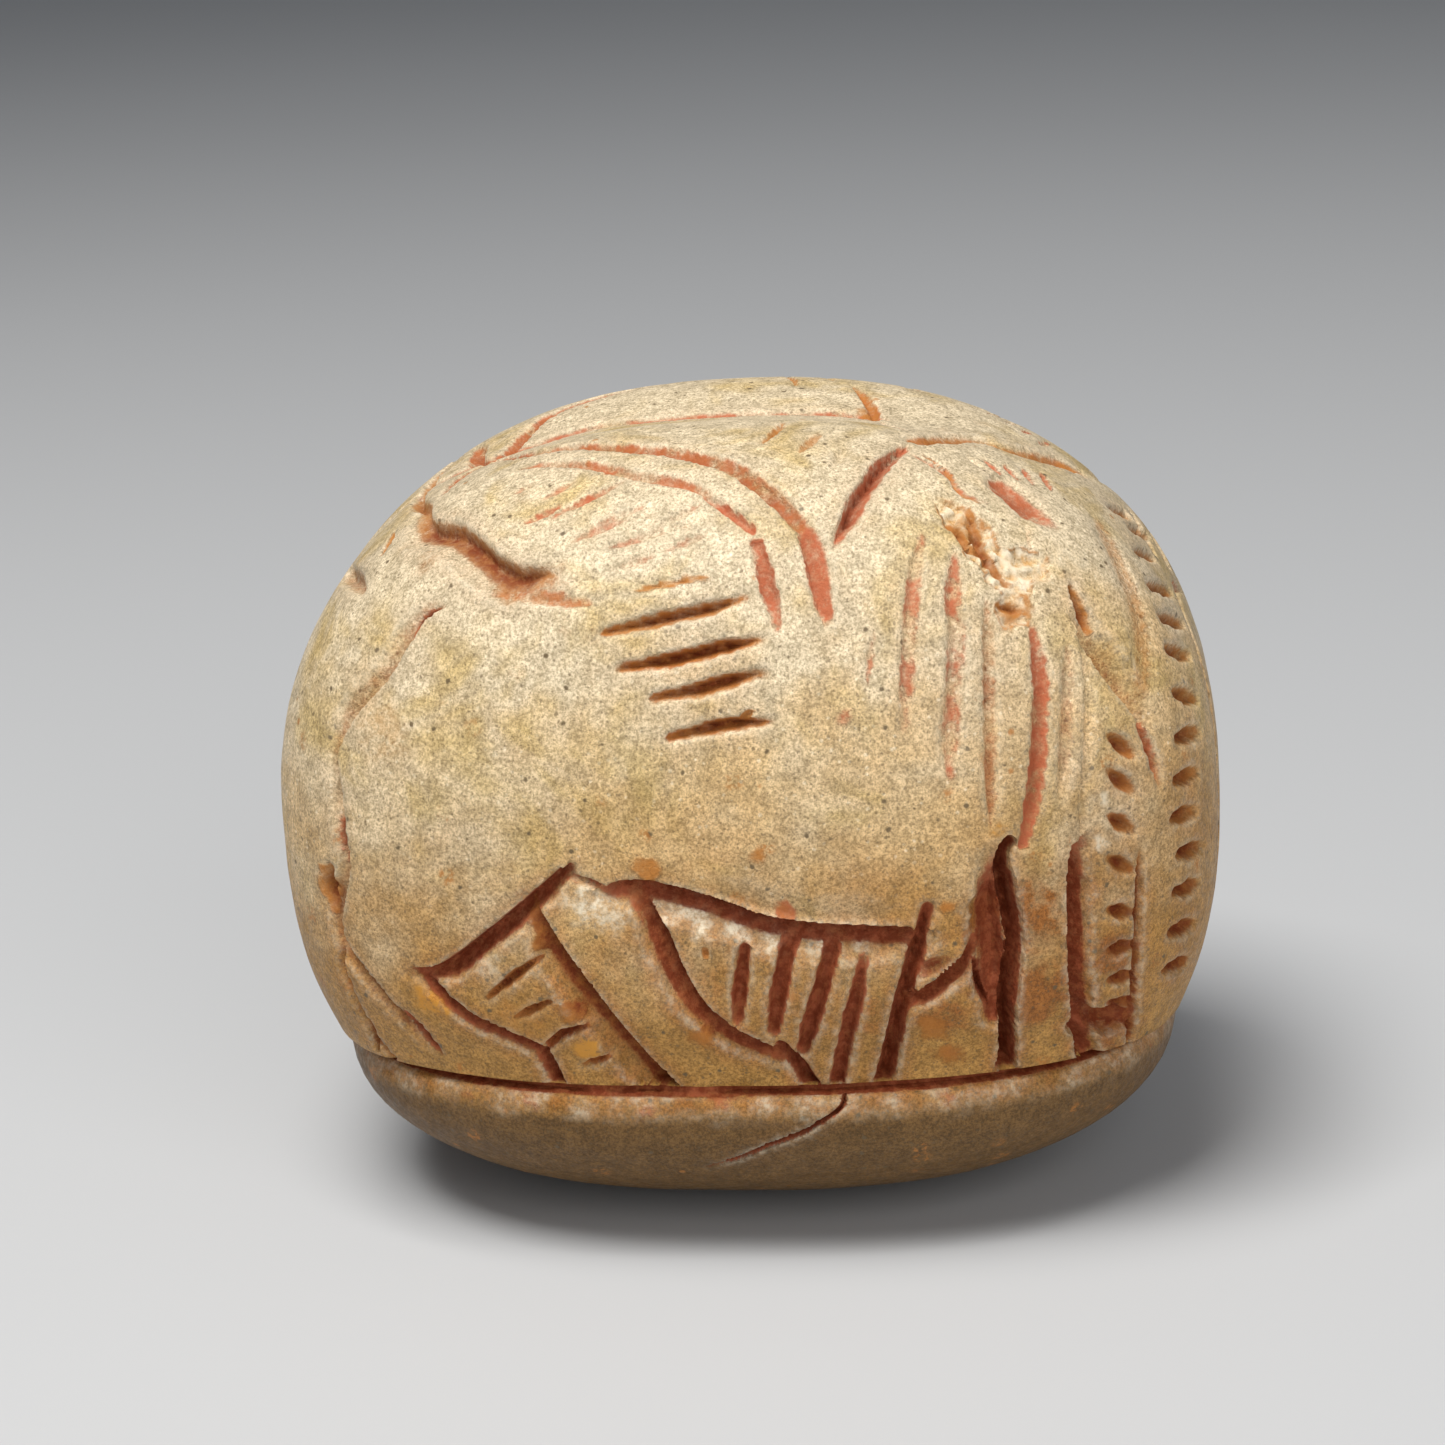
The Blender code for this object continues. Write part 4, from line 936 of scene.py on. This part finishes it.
def drill(obj, diameter):
    """Takes the straight threading hole out of the stone."""
    bm = bmesh.new()
    radius = diameter / 2
    bmesh.ops.create_cone(bm, cap_ends=True, segments=48, radius1=radius, radius2=radius, depth=LENGTH * 1.2)
    bmesh.ops.rotate(bm, verts=bm.verts, cent=(0, 0, 0), matrix=Matrix.Rotation(math.radians(90), 3, "Y"))
    bmesh.ops.translate(bm, verts=bm.verts, vec=(0, 0, BORE_HEIGHT))
    bit = add_piece("drill_bit", bm)
    hole = obj.modifiers.new("threading hole", "BOOLEAN")
    hole.operation = "DIFFERENCE"
    hole.solver = "EXACT"
    hole.object = bit
    depsgraph = bpy.context.evaluated_depsgraph_get()
    drilled = bpy.data.meshes.new_from_object(obj.evaluated_get(depsgraph))
    obj.modifiers.remove(hole)
    obj.data = drilled
    bpy.data.objects.remove(bit)


class Nodes:
    """Short ways to add and join the nodes of one material."""

    def __init__(self, name):
        self.material = bpy.data.materials.new(name)
        self.material.use_nodes = True
        self.tree = self.material.node_tree
        self.shader = self.tree.nodes["Principled BSDF"]
        self.place = self.add("TexCoord").outputs["Object"]
        split = self.add("SeparateXYZ", {"Vector": self.place})
        self.along, self.height = split.outputs["X"], split.outputs["Z"]
        self.patterns = {}

    def add(self, kind, inputs=(), **settings):
        """A node of one kind with its settings, and with its inputs linked or set."""
        node = self.tree.nodes.new("ShaderNode" + kind)
        for name, value in settings.items():
            setattr(node, name, value)
        for name, value in dict(inputs).items():
            self.feed(node.inputs[name], value)
        return node

    def feed(self, socket, value):
        if hasattr(value, "links"):
            self.tree.links.new(value, socket)
        else:
            socket.default_value = value

    def noise(self, size, detail=2, roughness=0.5, distortion=0, output="Fac"):
        """A smooth pattern of one size in metres, about 0 to 1, made once for like ones."""
        kind = (size, detail, roughness, distortion)
        if kind not in self.patterns:
            inputs = {"Vector": self.place, "Scale": 1 / size, "Detail": detail, "Roughness": roughness,
                      "Distortion": distortion}
            self.patterns[kind] = self.add("TexNoise", inputs)
        return self.patterns[kind].outputs[output]

    def bent(self, size, reach):
        """The object's coordinates, bent by noise of one size and reach in metres."""
        colour = self.noise(size, output="Color")
        centred = self.add("VectorMath", {0: colour, 1: (0.5, 0.5, 0.5)}, operation="SUBTRACT")
        scaled = self.add("VectorMath", {0: centred.outputs[0], "Scale": 2 * reach}, operation="SCALE")
        return self.add("VectorMath", {0: self.place, 1: scaled.outputs[0]}, operation="ADD").outputs[0]

    def grains(self, spacing, radius, share, place):
        """Scattered grains of one spacing and radius in metres, of which only a share is there."""
        node = self.add("TexVoronoi", {"Vector": place, "Scale": 1 / spacing})
        split = self.add("SeparateColor", {"Color": node.outputs["Color"]})
        size = radius / spacing
        spot = self.span(node.outputs["Distance"], size, size * GRAIN_EDGE)
        return self.math("MULTIPLY", spot, self.math("LESS_THAN", split.outputs["Red"], share))

    def span(self, value, low, high, to_low=0, to_high=1):
        """Eases a value from between low and high to between two other numbers."""
        inputs = {"Value": value, "From Min": low, "From Max": high, "To Min": to_low, "To Max": to_high}
        return self.add("MapRange", inputs, interpolation_type="SMOOTHSTEP").outputs["Result"]

    def math(self, operation, *values):
        return self.add("Math", enumerate(values), operation=operation).outputs["Value"]

    def times(self, *values):
        product = values[0]
        for value in values[1:]:
            product = self.math("MULTIPLY", product, value)
        return product

    def mix(self, amount, first, second, blend="MIX"):
        node = self.add("Mix", {"Factor": amount}, data_type="RGBA", blend_type=blend)
        colour = [socket for socket in node.inputs if socket.type == "RGBA"]
        for socket, value in zip(colour, (first, second)):
            self.feed(socket, value if hasattr(value, "links") else (*value, 1))
        return [socket for socket in node.outputs if socket.type == "RGBA"][0]

    def ragged(self, amount):
        """An amount of residue with a broken edge, thinner between its clots."""
        clots = self.noise(*CLOTS)
        broken = self.math("MULTIPLY_ADD", self.noise(*CRUST), 1.3, self.math("SUBTRACT", amount, 0.65))
        edge, body = self.span(broken, -0.15, 0.6), self.span(amount, 0, 0.75)
        return self.times(edge, body, self.span(clots, 0.32, 0.6, 0.55, 0.95))

    def attribute(self, name):
        return self.add("Attribute", attribute_name=name).outputs["Fac"]


def stone_ground(n, colours, bent):
    """The stone's mottled tan: paler on top as painted light from above, browner towards its ends, legs and
    underside, with painted shade on the underside and beside the cuts.
    """
    level = n.math("MULTIPLY_ADD", n.math("ABSOLUTE", n.along), -END_EARTH, n.height)
    level = n.math("MULTIPLY_ADD", n.along, -HEAD_EARTH, level)
    low = n.math("ADD", level, n.span(n.noise(*PATINA_DRIFT), 0.3, 0.7, -0.0025, 0.0025))
    broad = n.span(n.noise(*PALE_ZONES), 0.36, 0.64, 0, 0.6)
    # Painted light: the top grows paler as painted light from above.
    pale = n.math("MAXIMUM", broad, n.span(low, *TOP_LIGHT_PAINT_SPAN, 0, 0.85))
    colour = n.mix(pale, colours.sand, colours.pale)
    colour = n.mix(n.times(n.grains(*PALE_GRAINS, bent), 0.5), colour, colours.lip)
    colour = n.mix(n.span(n.noise(*OLIVE_ZONES), 0.47, 0.7, 0, 0.75), colour, colours.olive)
    patches = n.span(n.noise(*BLOTCHES), 0.3, 0.65, 0.3, 1)
    colour = n.mix(n.span(low, *EARTH_SPAN, 0, 0.97), colour, colours.earth)
    # Brown dirt and painted shade beside the cuts and in the recesses, stronger lower down.
    grime_and_shade = n.times(n.attribute("grime_and_shade"), patches, n.span(low, *EARTH_SPAN, 0.3, 0.85))
    colour = n.mix(grime_and_shade, colour, colours.grime_and_shade)
    # The underside darkens to brown patina and painted shade.
    colour = n.mix(n.span(n.height, *UMBER_AND_SHADE_SPAN, 0, 0.78), colour, colours.umber_and_shade)
    blotches = n.mix(n.span(n.noise(*BLOTCHES), 0.35, 0.65), (0.80, 0.785, 0.75), (1.11, 1.11, 1.11))
    colour = n.mix(1, colour, blotches, "MULTIPLY")
    bright = n.mix(n.span(n.noise(*SPECKLE), 0.38, 0.62), (0.62, 0.60, 0.54), (1.27, 1.27, 1.27))
    return n.mix(1, colour, bright, "MULTIPLY")


def stone_material(colours):
    """Speckled tan stone with red clay, rust and dry dark clay in its cuts, the dark clay deepened as painted
    shade, and pale lips and painted highlights.
    """
    n = Nodes("speckled_tan_stone")
    bent = n.bent(*GRAIN_BEND)
    colour = stone_ground(n, colours, bent)
    for grains, strength in DARK_GRAINS:
        colour = n.mix(n.times(n.grains(*grains, bent), strength), colour, colours.grain)
    colour = n.mix(n.times(n.grains(*RUST_GRAINS, bent), 0.75), colour, colours.rust)
    flecks = n.times(n.grains(*RUST_FLECKS, bent), n.span(n.noise(*FLECK_EDGES), 0.45, 0.6, 0, 0.75))
    colour = n.mix(n.times(flecks, n.span(n.height, 0.030, 0.022, 0.15, 1)), colour, colours.rust)
    # Pale wear on the lips and the broken patch, and painted highlights on the leg step's bevel, the head's
    # band and the rim.
    wear_and_highlight = n.times(n.attribute("wear_and_highlight"), n.span(n.noise(*DABS), 0.4, 0.65, 0.08, 0.35))
    colour = n.mix(wear_and_highlight, colour, colours.lip)
    ochre = n.times(n.attribute("ochre"), n.span(n.noise(*DABS), 0.35, 0.6, 0.1, 1))
    colour = n.mix(ochre, colour, colours.ochre)
    # Residue darkens with the cut's depth and lower down on the stone, partly as painted shade.
    deep = n.math("ADD", n.attribute("cut"), n.span(n.height, 0.022, 0.013, 0, 0.35))
    patchy = n.math("MAXIMUM", n.span(deep, 0.4, 0.8), n.span(n.noise(*CLAY_ZONES), 0.38, 0.6, 0.35, 1))
    clay = n.ragged(n.times(n.attribute("clay"), patchy))
    colour = n.mix(clay, colour, colours.clay)
    rust = n.ragged(n.attribute("rust"))
    colour = n.mix(rust, colour, colours.rust)
    # Dark dry clay in the deep cuts, deepened as painted shade.
    dark = n.times(n.span(deep, 0.2, 0.85), n.span(n.noise(*DABS), 0.35, 0.62, 0.5, 1))
    residue = n.span(n.math("MAXIMUM", clay, rust), 0, 0.5)
    colour = n.mix(n.times(dark, residue, 0.93), colour, colours.dried_clay_and_shade)
    n.feed(n.shader.inputs["Base Color"], colour)
    rough = n.math("ADD", n.span(n.noise(*GLOSS), 0.3, 0.7, 0.38, 0.54), n.times(residue, 0.3))
    n.feed(n.shader.inputs["Roughness"], rough)
    n.shader.inputs["Specular IOR Level"].default_value = STONE_SPECULAR
    height = n.math("ADD", n.noise(*FINE_RELIEF), n.times(n.noise(*SOFT_RELIEF), 0.8))
    height = n.math("ADD", height, n.times(n.noise(*CRUST), residue, 2.5))
    bump = n.add("Bump", {"Strength": RELIEF_STRENGTH, "Distance": RELIEF_HEIGHT, "Height": height})
    n.feed(n.shader.inputs["Normal"], bump.outputs["Normal"])
    return n.material


def plain_material(name, colour, roughness):
    n = Nodes(name)
    shade = n.span(n.noise(0.4), 0.3, 0.7)
    n.feed(n.shader.inputs["Base Color"], n.mix(shade, tuple(c * 0.97 for c in colour), colour))
    n.shader.inputs["Roughness"].default_value = roughness
    return n.material


class SCARAB_OT_carve_stone(bpy.types.Operator):
    """Shapes the stone, cuts its carving and gives it its finish"""

    bl_idname = "scarab.carve_stone"
    bl_label = "Carve Stone"

    def execute(self, context):
        sizes, colours = context.scene.scarab_sizes, context.scene.scarab_colours
        cuts = all_strokes()
        bm = refined_net(sizes, cuts)
        points = onto_stone(point_array(bm))
        looks = carve(points, cuts)
        uneven = 1 + wander(points, SWELL, seed=3) + RIPPLE_SHARE * wander(points, RIPPLE, seed=8)
        flat = points[:, 2] < FLAT_LEVEL + FLAT_BAND
        inside = looks["cut"] + np.where(flat, 0, uneven * sizes.unevenness / 2)
        add_stains(looks, points)
        set_points(bm, points - normals_at(points) * inside[:, None] + np.array((0, 0, MIDDLE_HEIGHT)))
        bmesh.ops.triangulate(bm, faces=bm.faces)
        bmesh.ops.recalc_face_normals(bm, faces=bm.faces)
        stone = add_piece("scarab_stone", bm)
        looks["cut"] /= DEEP_CUT
        for name, amounts in looks.items():
            add_attribute(stone.data, name, amounts)
        drill(stone, sizes.bore_diameter)
        stone.data.materials.clear()
        stone.data.materials.append(stone_material(colours))
        stone.data.shade_smooth()
        stone.data.set_sharp_from_angle(angle=math.radians(SHARP_ANGLE))
        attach(stone, "root")
        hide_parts(SOLID)
        return {"FINISHED"}


class SCARAB_OT_set_stage(bpy.types.Operator):
    """Sets the plain floor, the soft lights and the camera"""

    bl_idname = "scarab.set_stage"
    bl_label = "Set Stage"

    def execute(self, context):
        bm = bmesh.new()
        bmesh.ops.create_grid(bm, x_segments=8, y_segments=8, size=FLOOR_SIZE)
        floor = add_piece("floor", bm)
        floor.data.materials.append(plain_material("pale_floor", context.scene.scarab_colours.floor, 0.7))
        for name, (place, side, power, colour) in LIGHTS.items():
            light = bpy.data.lights.new(name, "AREA")
            light.shape, light.size, light.energy, light.color = "SQUARE", side, power, colour
            lamp = add_object(name, light)
            lamp.location = place
            aim = Vector((0, 0, MIDDLE_HEIGHT)) - Vector(place)
            lamp.rotation_euler = aim.to_track_quat("-Z", "Y").to_euler()
        world = bpy.data.worlds.new("soft_room")
        world.use_nodes = True
        background = world.node_tree.nodes["Background"]
        background.inputs["Color"].default_value = ROOM_COLOUR
        background.inputs["Strength"].default_value = ROOM_STRENGTH
        context.scene.world = world
        context.scene.view_settings.view_transform = "Standard"
        data = bpy.data.cameras.new("photo_camera")
        data.sensor_width = SENSOR_WIDTH
        data.lens = data.sensor_width * SIGHT_DISTANCE / (PHOTO_SIDE / PIXELS_PER_MM * MM)
        data.shift_x = -(STONE_X / PHOTO_SIDE - 0.5)
        data.shift_y = STONE_Y / PHOTO_SIDE - 0.5
        data.clip_start = 0.01
        camera = add_object("photo_camera", data)
        right, up, back = sight_axes()
        place = back * SIGHT_DISTANCE + Vector((0, 0, MIDDLE_HEIGHT))
        turn = Matrix((right, up, back)).transposed().to_4x4()
        camera.matrix_world = Matrix.Translation(place) @ turn
        context.scene.camera = camera
        return {"FINISHED"}


class SCARAB_PT_panel(bpy.types.Panel):
    """Lists the steps and the sizes and colours that they use"""

    bl_label = "Scarab Amulet"
    bl_space_type = "VIEW_3D"
    bl_region_type = "UI"
    bl_category = "Scarab"

    def draw(self, context):
        column = self.layout.column()
        for group in (context.scene.scarab_sizes, context.scene.scarab_colours):
            for name in group.__annotations__:
                column.prop(group, name)
        column.operator(SCARAB_OT_carve_stone.bl_idname)
        column.operator(SCARAB_OT_set_stage.bl_idname)


CLASSES = (ScarabSizes, ScarabColours, SCARAB_OT_carve_stone, SCARAB_OT_set_stage, SCARAB_PT_panel)


def register():
    for cls in CLASSES:
        bpy.utils.register_class(cls)
    bpy.types.Scene.scarab_sizes = PointerProperty(type=ScarabSizes)
    bpy.types.Scene.scarab_colours = PointerProperty(type=ScarabColours)


def unregister():
    del bpy.types.Scene.scarab_colours
    del bpy.types.Scene.scarab_sizes
    for cls in reversed(CLASSES):
        bpy.utils.unregister_class(cls)


def main():
    register()
    bpy.ops.scarab.carve_stone()
    bpy.ops.scarab.set_stage()


if __name__ == "__main__":
    main()
